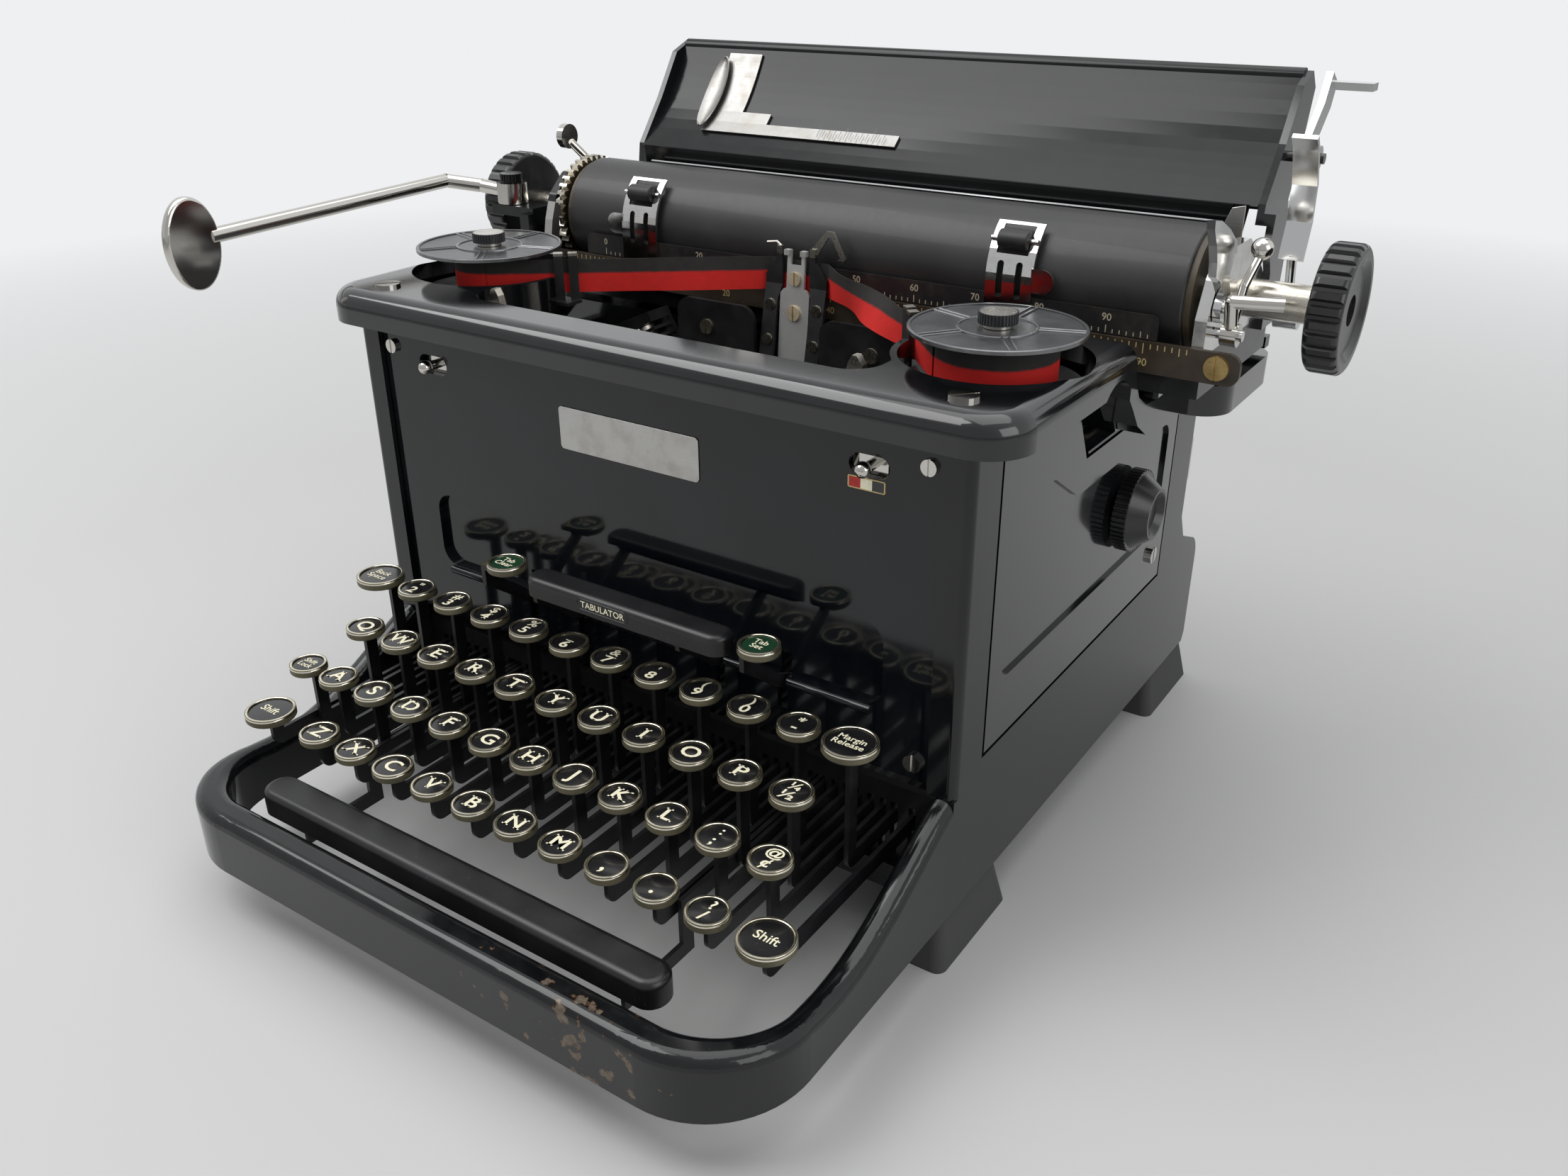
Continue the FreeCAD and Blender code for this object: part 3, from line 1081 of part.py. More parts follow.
def ribbon_vibrator():
    """Carrier that lifts the ribbon: two arms with screws, an eye plate and a hook."""
    half = VIBRATOR_T / 2
    low_y = VIBRATOR_LINE[0][0]
    pieces = [box((-13.6, 13.6), (low_y - half, low_y + half), (150.0, 156.0))]
    for side in (-1, 1):
        ear = box(sorted((side * 9.4, side * 13.2)), (low_y, RUNNER_Y + 2.6), (150.0, 153.5))
        pieces.append(ear.cut(rod((side * RUNNER_X, RUNNER_Y, 149.0), (side * RUNNER_X, RUNNER_Y, 155.0),
                                  RUNNER_R + SLIP)))
        sheet = strip(VIBRATOR_LINE, VIBRATOR_T, "x", *sorted((side * 6.0, side * 13.6)))
        outline = [(side * x, z) for x, z in VIBRATOR_ARM]
        pieces.append(sheet.common(prism(outline, "y", -30.0, -5.0)))
        pieces.append(slotted_screw(side * 10.4, -15.6, 184.3, (0, -1, 0), 2.0, 1.2, 0.6))
        pieces.append(slotted_screw(side * 10.4, -18.1, 171.3, (0, -1, 0), 2.0, 1.2, 0.6))
    eye = prism([(6.6, 204.5), (9.0, 204.5), (12.4, 209.6), (13.6, 211.4), (14.8, 211.4), (18.8, 204.4),
                 (17.4, 203.4), (20.2, 202.6), (21.0, 204.2), (15.6, 213.6), (12.8, 213.6), (6.6, 207.0)],
                "y", -12.9, -11.9)
    hook = bent_rod([(-7.4, -12.7, 206.0), (-9.4, -12.7, 207.4), (-13.6, -12.7, 206.8)], 0.6)
    return fused(pieces + [eye, hook])


def stud(side):
    """Small round stud that slides in the front panel's slot."""
    x = side * STUD_X
    pin = rod((x, FACE_Y - 3.0, STUD_Z), (x, FACE_Y + 7.0, STUD_Z), STUD_R)
    head = Part.makeSphere(STUD_R + 0.9, V(x, FACE_Y - 3.6, STUD_Z))
    keeper = box((x - 5.0, x + 5.0), (FACE_Y + FACE_T + HANG, FACE_Y + 5.5), (STUD_Z - 6.0, STUD_Z + 6.0))
    return fused([pin, head, keeper])


def side_knob():
    """Knurled ribbon-winding knob on the right panel."""
    rim = knurled_disc((HALF_WIDTH + HANG, SIDE_KNOB_Y, SIDE_KNOB_Z), "x", SIDE_KNOB_R, SIDE_KNOB_T, 48, 0.7)
    base_x = HALF_WIDTH + HANG + SIDE_KNOB_T
    cap = Part.makeCone(SIDE_KNOB_CAP_R + 1.5, SIDE_KNOB_CAP_R - 3.0, SIDE_KNOB_CAP_T,
                        V(base_x, SIDE_KNOB_Y, SIDE_KNOB_Z), V(1, 0, 0))
    dish = Part.makeCone(SIDE_KNOB_CAP_R - 6.0, SIDE_KNOB_CAP_R - 4.0, 2.5,
                         V(base_x + SIDE_KNOB_CAP_T - 2.4, SIDE_KNOB_Y, SIDE_KNOB_Z), V(1, 0, 0))
    shaft = rod((HALF_WIDTH - 18, SIDE_KNOB_Y, SIDE_KNOB_Z), (HALF_WIDTH + 1, SIDE_KNOB_Y, SIDE_KNOB_Z), 4.0)
    return fused([rim, cap, shaft]).cut(dish)


# ------------------------------------------------------------------ carriage
def end_plate(x, thickness):
    """End plate of the carriage, with its bore for the platen shaft."""
    outline = [(FRONT_BAR_Y[0], CARRIAGE_Z), (REAR_BAR_Y1, CARRIAGE_Z), (REAR_BAR_Y1, 190.0), (48.0, 206.0),
               (38.0, 214.0), (28.0, 220.0), (6.0, 220.0), (-3.0, 212.0), (FRONT_BAR_Y[0], 200.0)]
    plate = prism(outline, "x", x, x + thickness)
    plate = rounded(plate, 3.0, V(1, 0, 0), lambda p: p.z > 195.0)
    bore = rod((x - 1, PLATEN_Y, PLATEN_Z), (x + thickness + 1, PLATEN_Y, PLATEN_Z), SHAFT_R + SLIP)
    return plate.cut(bore)


def carriage_frame():
    """End plates, front and rear bars, rack and the tabs that carry the scales."""
    length = (END_LEFT_X, END_RIGHT_X + END_T)
    front = box(length, FRONT_BAR_Y, (CARRIAGE_Z, FRONT_BAR_TOP_Z))
    rear = box(length, (REAR_BAR_Y0, REAR_BAR_Y1), (CARRIAGE_Z, REAR_BAR_TOP_Z))
    rack = box(length, RACK_Y, RACK_Z)
    link = [box((x, x + 8.0), (REAR_BAR_Y1 - 1, RACK_Y[1]), (RACK_Z[1] - 1.5, RACK_Z[1] + 1.0))
            for x in (END_LEFT_X + 6, -50.0, 60.0, END_RIGHT_X - 14)]
    tab_y = (SCALE_FRONT_Y + SCALE_T, SCALE_FRONT_Y + SCALE_T + 2.2)
    tabs = [box((x, x + 6.0), tab_y, (FRONT_BAR_TOP_Z - 1, 194.0)) for x in (SCALE_X[0] + 2, SCALE_X[1] - 8)]
    feed = [box((x, x + 5.0), (FRONT_BAR_Y[1] - 1, 22.0), (CARRIAGE_Z, CARRIAGE_Z + 3.0))
            for x in (-96.0, 118.0)]
    return fused([front, rear, rack, end_plate(END_LEFT_X, END_T), end_plate(END_RIGHT_X, END_T)]
                 + link + tabs + feed)


def platen_rubber():
    """Rubber roll."""
    roll = rod((PLATEN_X[0], PLATEN_Y, PLATEN_Z), (PLATEN_X[1], PLATEN_Y, PLATEN_Z), PLATEN_R)
    roll = roll.makeFillet(0.8, [e for e in roll.Edges if e.Curve.TypeId == "Part::GeomCircle"])
    return roll.cut(rod((PLATEN_X[0] - 1, PLATEN_Y, PLATEN_Z), (PLATEN_X[1] + 1, PLATEN_Y, PLATEN_Z), 18.0))


def platen_core():
    """Wooden core's metal parts: shaft, end rings, ratchet and the bright sleeve."""
    tube = rod((PLATEN_X[0], PLATEN_Y, PLATEN_Z), (PLATEN_X[1], PLATEN_Y, PLATEN_Z), 18.0)
    tube = tube.cut(rod((PLATEN_X[0], PLATEN_Y, PLATEN_Z), (PLATEN_X[1], PLATEN_Y, PLATEN_Z), 15.5))
    shaft = rod((KNOB_LEFT_X + 4, PLATEN_Y, PLATEN_Z), (KNOB_RIGHT_X - 4, PLATEN_Y, PLATEN_Z), SHAFT_R)
    rings = [rod((PLATEN_X[0] - RING_T, PLATEN_Y, PLATEN_Z), (PLATEN_X[0], PLATEN_Y, PLATEN_Z), RING_R),
             rod((PLATEN_X[1], PLATEN_Y, PLATEN_Z), (PLATEN_X[1] + RING_T, PLATEN_Y, PLATEN_Z), RING_R)]
    teeth = []
    for index in range(RATCHET_TEETH):
        for share, reach in ((0.0, RATCHET_R), (0.35, RATCHET_R), (0.5, RATCHET_R - 2.2)):
            angle = 2 * pi * (index + share) / RATCHET_TEETH
            teeth.append((PLATEN_Y + reach * cos(angle), PLATEN_Z + reach * sin(angle)))
    start = PLATEN_X[0] - RING_T - 1.5 - RATCHET_T
    ratchet = prism(teeth, "x", start, start + RATCHET_T)
    boss = rod((start, PLATEN_Y, PLATEN_Z), (PLATEN_X[0], PLATEN_Y, PLATEN_Z), 12.0)
    sleeve = rod((SLEEVE_X[0], PLATEN_Y, PLATEN_Z), (SLEEVE_X[1], PLATEN_Y, PLATEN_Z), SLEEVE_R)
    return fused([tube, shaft, ratchet, boss, sleeve] + rings)


def knob(outer_x, side):
    """Fluted platen knob with a dished face."""
    inner_x = outer_x - side * KNOB_T
    start = min(outer_x, inner_x)
    body = knurled_disc((start, PLATEN_Y, PLATEN_Z), "x", KNOB_R, KNOB_T, KNOB_FLUTES, 1.2)
    crown = rod((start, PLATEN_Y, PLATEN_Z), (start + KNOB_T, PLATEN_Y, PLATEN_Z), KNOB_R)
    crown = crown.makeFillet(2.2, [e for e in crown.Edges if e.Curve.TypeId == "Part::GeomCircle"])
    body = body.common(crown)
    dish = Part.makeCone(KNOB_R - 7.0, KNOB_R - 4.0, 1.6, V(outer_x - side * 1.5, PLATEN_Y, PLATEN_Z),
                         V(side, 0, 0))
    bore = rod((start - 1, PLATEN_Y, PLATEN_Z), (start + KNOB_T + 1, PLATEN_Y, PLATEN_Z), SHAFT_R)
    return body.cut(dish).cut(bore)


def platen_knobs():
    """Both platen knobs."""
    return group([knob(KNOB_LEFT_X, -1), knob(KNOB_RIGHT_X, 1)])


def paper_scale():
    """Thin scale in front of the platen."""
    plate = box(SCALE_X, (SCALE_FRONT_Y, SCALE_FRONT_Y + SCALE_T), SCALE_Z)
    return rounded(plate, 2.0, V(0, 1, 0), lambda p: p.z > SCALE_Z[1] - 1)


def margin_scale():
    """Margin scale bar with its end screws and rounded ends."""
    y1 = FRONT_BAR_Y[0]
    bar = box(MARGIN_X, (y1 - MARGIN_T, y1), MARGIN_Z)
    bar = rounded(bar, 4.0, V(0, 1, 0))
    screws = [slotted_screw(x, y1 - MARGIN_T, 186.0, (0, -1, 0), 4.0, 0.9, 0.8)
              for x in (MARGIN_X[0] + 7.5, MARGIN_X[1] - 7.5)]
    return group([bar] + screws)


def margin_stop(x):
    """Margin stop that slides on the rear bar."""
    top = REAR_BAR_TOP_Z + HANG
    saddle = box((x - STOP_W / 2, x + STOP_W / 2), (REAR_BAR_Y0 - 3.5, REAR_BAR_Y1 + 2.5),
                 (top - 6.0, top + 3.0))
    slot = box((x - STOP_W, x + STOP_W), (REAR_BAR_Y0 - HANG, REAR_BAR_Y1 + HANG), (top - 7.0, top))
    finger = box((x - 1.5, x + 1.5), (REAR_BAR_Y0 + 2, REAR_BAR_Y0 + 8), (top + 3.0, top + 9.0))
    return fused([saddle.cut(slot), finger])


def roller_place():
    """Y and Z of a paper finger's roller."""
    reach = PLATEN_R + FINGER_ROLLER_R + HANG
    angle = radians(FINGER_ROLLER_ANGLE)
    return PLATEN_Y - reach * cos(angle), PLATEN_Z + reach * sin(angle)


def paper_finger(x, side):
    """Slotted finger that curls over the platen, with its roller; side is where its tab stands."""
    y = SCALE_FRONT_Y - HANG - FINGER_T / 2
    ry, rz = roller_place()
    arc = arc_points((PLATEN_Y, PLATEN_Z), PLATEN_Y - y, 180.0, 180.0 - FINGER_ARC, 9)
    half = FINGER_W / 2
    plate = strip([(y, 192.0)] + arc, FINGER_T, "x", x - half, x + half)
    window = box((x - FINGER_ROLLER_W / 2 - 0.4, x + FINGER_ROLLER_W / 2 + 0.4), (y - 5, ry + 9.0),
                 (rz - FINGER_ROLLER_R - 1.2, rz + FINGER_ROLLER_R + 0.9))
    slots = [rounded(box((x + s - 1.2, x + s + 1.2), (y - 4, y + 6), FINGER_SLOT_Z), 1.15, V(0, 1, 0))
             for s in (-3.5, 3.5)]
    plate = plate.cut(group([window] + slots))
    edge = x + side * half
    tab = [rod((edge + side * 3.6, y - 0.4, 205.5), (edge + side * 3.6, y + 0.4, 205.5), FINGER_TAB_R),
           box(sorted((edge - side * 0.5, edge + side * 3.6)), (y - 0.4, y + 0.4),
               (205.5 - FINGER_TAB_R, 205.5 + FINGER_TAB_R))]
    axle = rod((x - half, ry, rz), (x + half, ry, rz), 0.9)
    frame = fused([plate, axle] + tab)
    roller = rod((x - FINGER_ROLLER_W / 2, ry, rz), (x + FINGER_ROLLER_W / 2, ry, rz), FINGER_ROLLER_R)
    roller = roller.makeFillet(0.6, [e for e in roller.Edges if e.Curve.TypeId == "Part::GeomCircle"])
    roller = roller.cut(rod((x - 9, ry, rz), (x + 9, ry, rz), 0.9 + SLIP))
    return group([frame, roller])


def table_line():
    """Section of the paper table, from its lower edge to its top edge."""
    points = []
    steps = 10
    for index in range(steps + 1):
        share = index / steps
        y = TABLE_BOTTOM[0] + share * (TABLE_TOP[0] - TABLE_BOTTOM[0])
        z = TABLE_BOTTOM[1] + share * (TABLE_TOP[1] - TABLE_BOTTOM[1])
        bulge = TABLE_BULGE * sin(pi * share)
        points.append((y + 0.76 * bulge, z - 0.65 * bulge))
    return points


def paper_table():
    """Curved sheet behind the platen, with a rolled top edge."""
    line = table_line()
    sheet = strip(line, TABLE_T, "x", TABLE_X[0], TABLE_X[1])
    roll_centre = (TABLE_TOP[0] + 1.2, TABLE_TOP[1] - TABLE_ROLL_R + 1.0)
    roll = rod((TABLE_X[0], roll_centre[0], roll_centre[1]), (TABLE_X[1], roll_centre[0], roll_centre[1]),
               TABLE_ROLL_R)
    hem_y = (TABLE_BOTTOM[0] - 1.6, TABLE_BOTTOM[0] + 0.4)
    hem = box((TABLE_X[0] + 8, TABLE_X[1] - 8), hem_y, (TABLE_BOTTOM[1] - 0.6, TABLE_BOTTOM[1] + 0.8))
    return fused([sheet, roll, hem])


def bracket_outline(low, high):
    """Side view of a paper table bracket between two heights."""
    outline = [(50.0, REAR_BAR_TOP_Z), (64.0, REAR_BAR_TOP_Z), (66.0, 206.0), (80.0, 236.0), (88.0, 262.0),
               (82.0, 268.0), (72.0, 264.0), (60.0, 246.0), (46.0, 228.0), (44.0, 214.0), (50.0, 204.0)]
    return prism(outline, "x", 0.0, 1.0).common(box((-1, 2), (0, 120), (low, high)))


def bracket_plate(x, low, high):
    """Bracket plate between two x limits and two heights."""
    face = bracket_outline(low, high)
    side = [f for f in face.Faces if abs(f.CenterOfMass.x) < 1e-6][0]
    plate = side.extrude(V(x[1] - x[0], 0, 0))
    plate.translate(V(x[0], 0, 0))
    return plate


def table_brackets():
    """Plates, bars and pin that hold the paper table to the carriage."""
    left_x = (TABLE_X[0] - BRACKET_T, TABLE_X[0])
    right_x = (TABLE_X[1], TABLE_X[1] + BRACKET_T)
    foot_x = (END_RIGHT_X + END_T, END_RIGHT_X + END_T + BRACKET_T)
    solids = [bracket_plate(left_x, REAR_BAR_TOP_Z, 270.0),
              bracket_plate(right_x, 221.0, 270.0),
              bracket_plate((right_x[0], foot_x[1]), 221.0, 225.0),
              bracket_plate(foot_x, REAR_BAR_TOP_Z, 225.0)]
    bar_y = TABLE_TOP[0] + 4.0
    solids.append(rod((left_x[0], bar_y, 259.5), (right_x[1], bar_y, 259.5), 2.6))
    solids.append(rod((left_x[0], 58.0, 210.0), (END_RIGHT_X, 58.0, 210.0), 2.6))
    solids.append(rod((END_RIGHT_X, 58.0, 210.0), (foot_x[1], 58.0, 210.0), 2.6))
    solids.append(rod((right_x[0] + 1.0, ARM_Y, ARM_Z), (foot_x[1] + 9.0, ARM_Y, ARM_Z), 1.8))
    holes = [rod((left_x[0] - 1, y, z), (left_x[1] + 1, y, z), 1.8)
             for y, z in ((56.0, 222.0), (70.0, 240.0))]
    return fused(solids).cut(group(holes))


def paper_guide():
    """L-shaped side guide with its scale strip, lying on the paper table."""
    line = table_line()
    lift = TABLE_T / 2 + 0.4 + HANG
    raised = [(y - 0.76 * lift, z + 0.65 * lift) for y, z in line]
    upright = strip(raised[3:10], 0.8, "x", GUIDE_PLATE_X[0], GUIDE_PLATE_X[0] + 17.0)
    foot = strip(raised[2:5], 0.8, "x", GUIDE_PLATE_X[0], GUIDE_PLATE_X[1])
    rule = strip(raised[2:4], 0.8, "x", GUIDE_PLATE_X[1], GUIDE_STRIP_END_X)
    return fused([upright, foot, rule])


def return_lever():
    """Carriage return lever: a bent rod with an oval paddle, on its pivot block."""
    px, py, pz = PADDLE_CENTRE
    elbow = (-179.5, -19.0, 215.5)
    start = (LEVER_PIVOT_X - 4.0, LEVER_PIVOT_Y, 212.0)
    neck = (px, py + PADDLE_LENGTH * 0.35, pz + 1.5)
    arm = bent_rod([start, (-168.0, -9.0, 213.0), elbow, neck], LEVER_ROD_R)
    outline = Part.Ellipse(V(0, 0, 0), PADDLE_HEIGHT / 2, PADDLE_LENGTH / 2).toShape()
    oval = Part.Face(Part.Wire(outline)).extrude(V(0, 0, PADDLE_T))
    oval = oval.makeFillet(1.2, [e for e in oval.Edges if e.Closed])
    oval = placed(oval, V(px - PADDLE_T / 2, py, pz), V(0, 0, 1), V(0, -1, 0), V(1, 0, 0))
    block = rod((LEVER_PIVOT_X, LEVER_PIVOT_Y, 207.5), (LEVER_PIVOT_X, LEVER_PIVOT_Y, 216.0), 6.5)
    bore = rod((LEVER_PIVOT_X, LEVER_PIVOT_Y, 200.0), (LEVER_PIVOT_X, LEVER_PIVOT_Y, 220.0), 2.5 + SLIP)
    return fused([arm, block.cut(bore), oval])


def lever_bracket():
    """Bracket on the left end of the carriage that carries the return lever's pivot pin."""
    arm = box((LEVER_PIVOT_X - 7.0, END_LEFT_X), (LEVER_PIVOT_Y - 6.0, LEVER_PIVOT_Y + 6.0), (203.0, 207.2))
    drop = box((END_LEFT_X - 5.0, END_LEFT_X), (PAWL_Y - 3.0, LEVER_PIVOT_Y + 14.0), (191.4, 205.0))
    pin = rod((LEVER_PIVOT_X, LEVER_PIVOT_Y, 203.0), (LEVER_PIVOT_X, LEVER_PIVOT_Y, 217.0), 2.5)
    button_top = knurled_disc((LEVER_PIVOT_X, LEVER_PIVOT_Y, 216.3), "z", 4.8, 3.4, 24, 0.4)
    return fused([arm, drop, pin, button_top])


def line_space_pawl():
    """Pawl arm that turns the ratchet as the return lever is pushed."""
    x = (PLATEN_X[0] - RING_T - 1.5 - RATCHET_T, PLATEN_X[0] - RING_T - 1.5)
    hub = rod((x[0], PAWL_Y, PAWL_Z), (x[1], PAWL_Y, PAWL_Z), 3.2)
    arm = prism([(PAWL_Y - 2.6, PAWL_Z), (PAWL_Y + 2.6, PAWL_Z), (-10.6, 203.0), (-9.6, 209.0),
                 (-12.2, 211.0), (-14.8, 204.0)], "x", x[0], x[1])
    bore = rod((x[0] - 1, PAWL_Y, PAWL_Z), (x[1] + 1, PAWL_Y, PAWL_Z), 1.6 + SLIP)
    return fused([hub, arm]).cut(bore)


def pawl_pin():
    """Pin that carries the line space pawl."""
    return rod((END_LEFT_X - 3.0, PAWL_Y, PAWL_Z), (PLATEN_X[0] - RING_T - 0.5, PAWL_Y, PAWL_Z), 1.6)


def release_left():
    """Small oval-headed carriage release lever at the left rear."""
    x = END_LEFT_X - 5.5
    arm = bent_rod([(x, 34.0, 208.0), (x - 2.0, 30.0, 222.0), (x - 6.0, 25.0, 229.0)], 1.8)
    head = rod((x - 8.6, 24.0, 231.5), (x - 5.4, 24.0, 231.5), 5.2)
    hub = rod((x - 3.0, 34.0, 207.0), (x + 3.0, 34.0, 207.0), 4.5)
    bore = rod((x - 9, 34.0, 207.0), (x + 9, 34.0, 207.0), 2.0 + SLIP)
    return fused([arm, head, hub]).cut(bore)


def release_right():
    """Chrome hooked lever at the right end."""
    x = END_RIGHT_X + END_T + HANG
    blade = prism([(HOOK_Y + y, HOOK_Z + z) for y, z in HOOK_BLADE], "x", x, x + 2.6)
    hub = rod((x, HOOK_Y, HOOK_Z), (x + 2.6, HOOK_Y, HOOK_Z), HOOK_HUB_R)
    bore = rod((x - 1, HOOK_Y, HOOK_Z), (x + 4, HOOK_Y, HOOK_Z), 2.0 + SLIP)
    return fused([blade, hub]).cut(bore)


def detent_lever():
    """Ball-ended lever beside the right end plate."""
    x = END_RIGHT_X + END_T + 6.0
    stem = bent_rod([(x, -2.0, 196.0), (x + 1.0, 2.0, 210.0), (x + 3.0, 8.0, 219.0)], 1.5)
    ball = Part.makeSphere(3.6, V(x + 3.2, 8.5, 221.0))
    handle = bent_rod([(x, -3.0, 197.0), (x, -6.0, 206.5), (x + 15.0, -1.0, 206.5)], 2.2)
    hub = rod((x - 2.6, -2.0, 195.0), (x + 2.6, -2.0, 195.0), 3.8)
    bore = rod((x - 4, -2.0, 195.0), (x + 4, -2.0, 195.0), 1.8 + SLIP)
    return fused([stem, ball, handle, hub]).cut(bore)


def paper_release():
    """Curved strap on a rod at the right rear that lowers the feed rollers."""
    x = END_RIGHT_X + END_T + 13.5
    strap = strip([(29.0, 214.0), (33.0, 226.0), (32.0, 238.0), (26.0, 250.0), (22.0, 254.0)], 1.6, "x",
                  x - 4.0, x + 4.0)
    leg = bent_rod([(x, 30.0, 216.0), (x, 33.0, 206.0), (x - 2.0, PAPER_RELEASE_Y, PAPER_RELEASE_Z)], 1.6)
    hub = rod((x - 5.0, PAPER_RELEASE_Y, PAPER_RELEASE_Z), (x + 3.0, PAPER_RELEASE_Y, PAPER_RELEASE_Z), 4.0)
    bore = rod((x - 9, PAPER_RELEASE_Y, PAPER_RELEASE_Z), (x + 9, PAPER_RELEASE_Y, PAPER_RELEASE_Z),
               2.0 + SLIP)
    return fused([strap, leg, hub]).cut(bore)


def table_arm():
    """Arm and thumb lever at the upper right, behind the paper table."""
    x = END_RIGHT_X + END_T + BRACKET_T + HANG
    arm = prism([(58.0, 238.0), (66.0, 236.0), (74.0, 246.0), (86.0, 256.0), (90.0, 264.0), (82.0, 268.0),
                 (76.0, 258.0), (64.0, 248.0)], "x", x, x + 2.4)
    thumb = box((x, x + 16.0), (83.0, 90.0), (262.0, 264.6))
    bush = rod((x, ARM_Y, ARM_Z), (x + 7.0, ARM_Y, ARM_Z), 4.2)
    bore = rod((x - 1, ARM_Y, ARM_Z), (x + 10, ARM_Y, ARM_Z), 1.8 + SLIP)
    return fused([arm, thumb, bush]).cut(bore)


def pivot_pins():
    """Pins on the carriage ends that the hand levers turn on."""
    left = rod((END_LEFT_X - 9.0, 34.0, 207.0), (END_LEFT_X, 34.0, 207.0), 2.0)
    right_end = END_RIGHT_X + END_T
    hook = rod((right_end, HOOK_Y, HOOK_Z), (right_end + 4.5, HOOK_Y, HOOK_Z), 2.0)
    detent = rod((right_end, -2.0, 195.0), (right_end + 10.0, -2.0, 195.0), 1.8)
    release = rod((right_end, PAPER_RELEASE_Y, PAPER_RELEASE_Z),
                  (right_end + 16.5, PAPER_RELEASE_Y, PAPER_RELEASE_Z), 2.0)
    return [left, hook, detent, release]


def feed_rollers():
    """Rollers that press the paper to the platen from below, with their axle."""
    reach = PLATEN_R + FEED_R + HANG
    y = PLATEN_Y - reach * sin(radians(24.0))
    z = PLATEN_Z - reach * cos(radians(24.0))
    axle = rod((-96.0 + 5.0, y, z), (118.0, y, z), 2.0)
    rolls = [rod((x - FEED_LENGTH / 2, y, z), (x + FEED_LENGTH / 2, y, z), FEED_R)
             for x in (-50.0, REST_SHIFT, 80.0)]
    return fused([axle] + rolls)


# ------------------------------------------------------------------ drive
def mainspring_drum():
    """Drum that pulls the carriage, on the rear cover's stud."""
    y = WALL_REAR_Y + 2.0 + HANG
    drum = rod((DRUM_X, y, DRUM_Z), (DRUM_X, y + DRUM_T, DRUM_Z), DRUM_R)
    groove = rod((DRUM_X, y + 3.0, DRUM_Z), (DRUM_X, y + 9.0, DRUM_Z), DRUM_R + 1)
    groove = groove.cut(rod((DRUM_X, y + 3.0, DRUM_Z), (DRUM_X, y + 9.0, DRUM_Z), DRUM_R - 1.5))
    ribs = [rod((DRUM_X + 14 * cos(a), y + DRUM_T - 2.0, DRUM_Z + 14 * sin(a)),
                (DRUM_X + 14 * cos(a), y + DRUM_T + 1.0, DRUM_Z + 14 * sin(a)), 4.0)
            for a in [k * pi / 3 for k in range(6)]]
    bore = rod((DRUM_X, y - 1, DRUM_Z), (DRUM_X, y + DRUM_T + 1, DRUM_Z), 4.0 + SLIP)
    return drum.cut(groove).cut(group(ribs)).cut(bore)


def escapement_wheel():
    """Toothed wheel and the pinion that follows the carriage's rack."""
    pinion = rod((0, RACK_Y[0], PINION_Z), (0, RACK_Y[1], PINION_Z), PINION_R - 0.1)
    teeth = []
    for index in range(30):
        for share, reach in ((0.0, WHEEL_R), (0.2, WHEEL_R - 2.4)):
            angle = 2 * pi * (index + share) / 30
            teeth.append((reach * cos(angle), PINION_Z + reach * sin(angle)))
    wheel = prism(teeth, "y", RACK_Y[1] + 2.0, RACK_Y[1] + 4.5)
    shaft = rod((0, WHEEL_SHAFT_Y[0], PINION_Z), (0, WHEEL_SHAFT_Y[1], PINION_Z), WHEEL_SHAFT_R)
    return fused([pinion, wheel, shaft])


def bell():
    """Margin bell on a post from the rear wall."""
    y = WALL_REAR_Y - WALL
    x = REAR_WINDOW_HALF + 4.0
    post = rod((x, y - 31.0, BELL_Z), (x, y, BELL_Z), 2.0)
    outer = Part.makeSphere(BELL_R, V(x, y - 8.0, BELL_Z))
    keep = box((x - 30, x + 30), (y - 30, y - 14.0), (BELL_Z - 30, BELL_Z + 30))
    inner = Part.makeSphere(BELL_R - 1.4, V(x, y - 8.0, BELL_Z))
    cup = outer.common(keep).cut(inner)
    screw = rod((x, y - 32.5, BELL_Z), (x, y - 29.5, BELL_Z), 3.5)
    return fused([cup, post, screw])


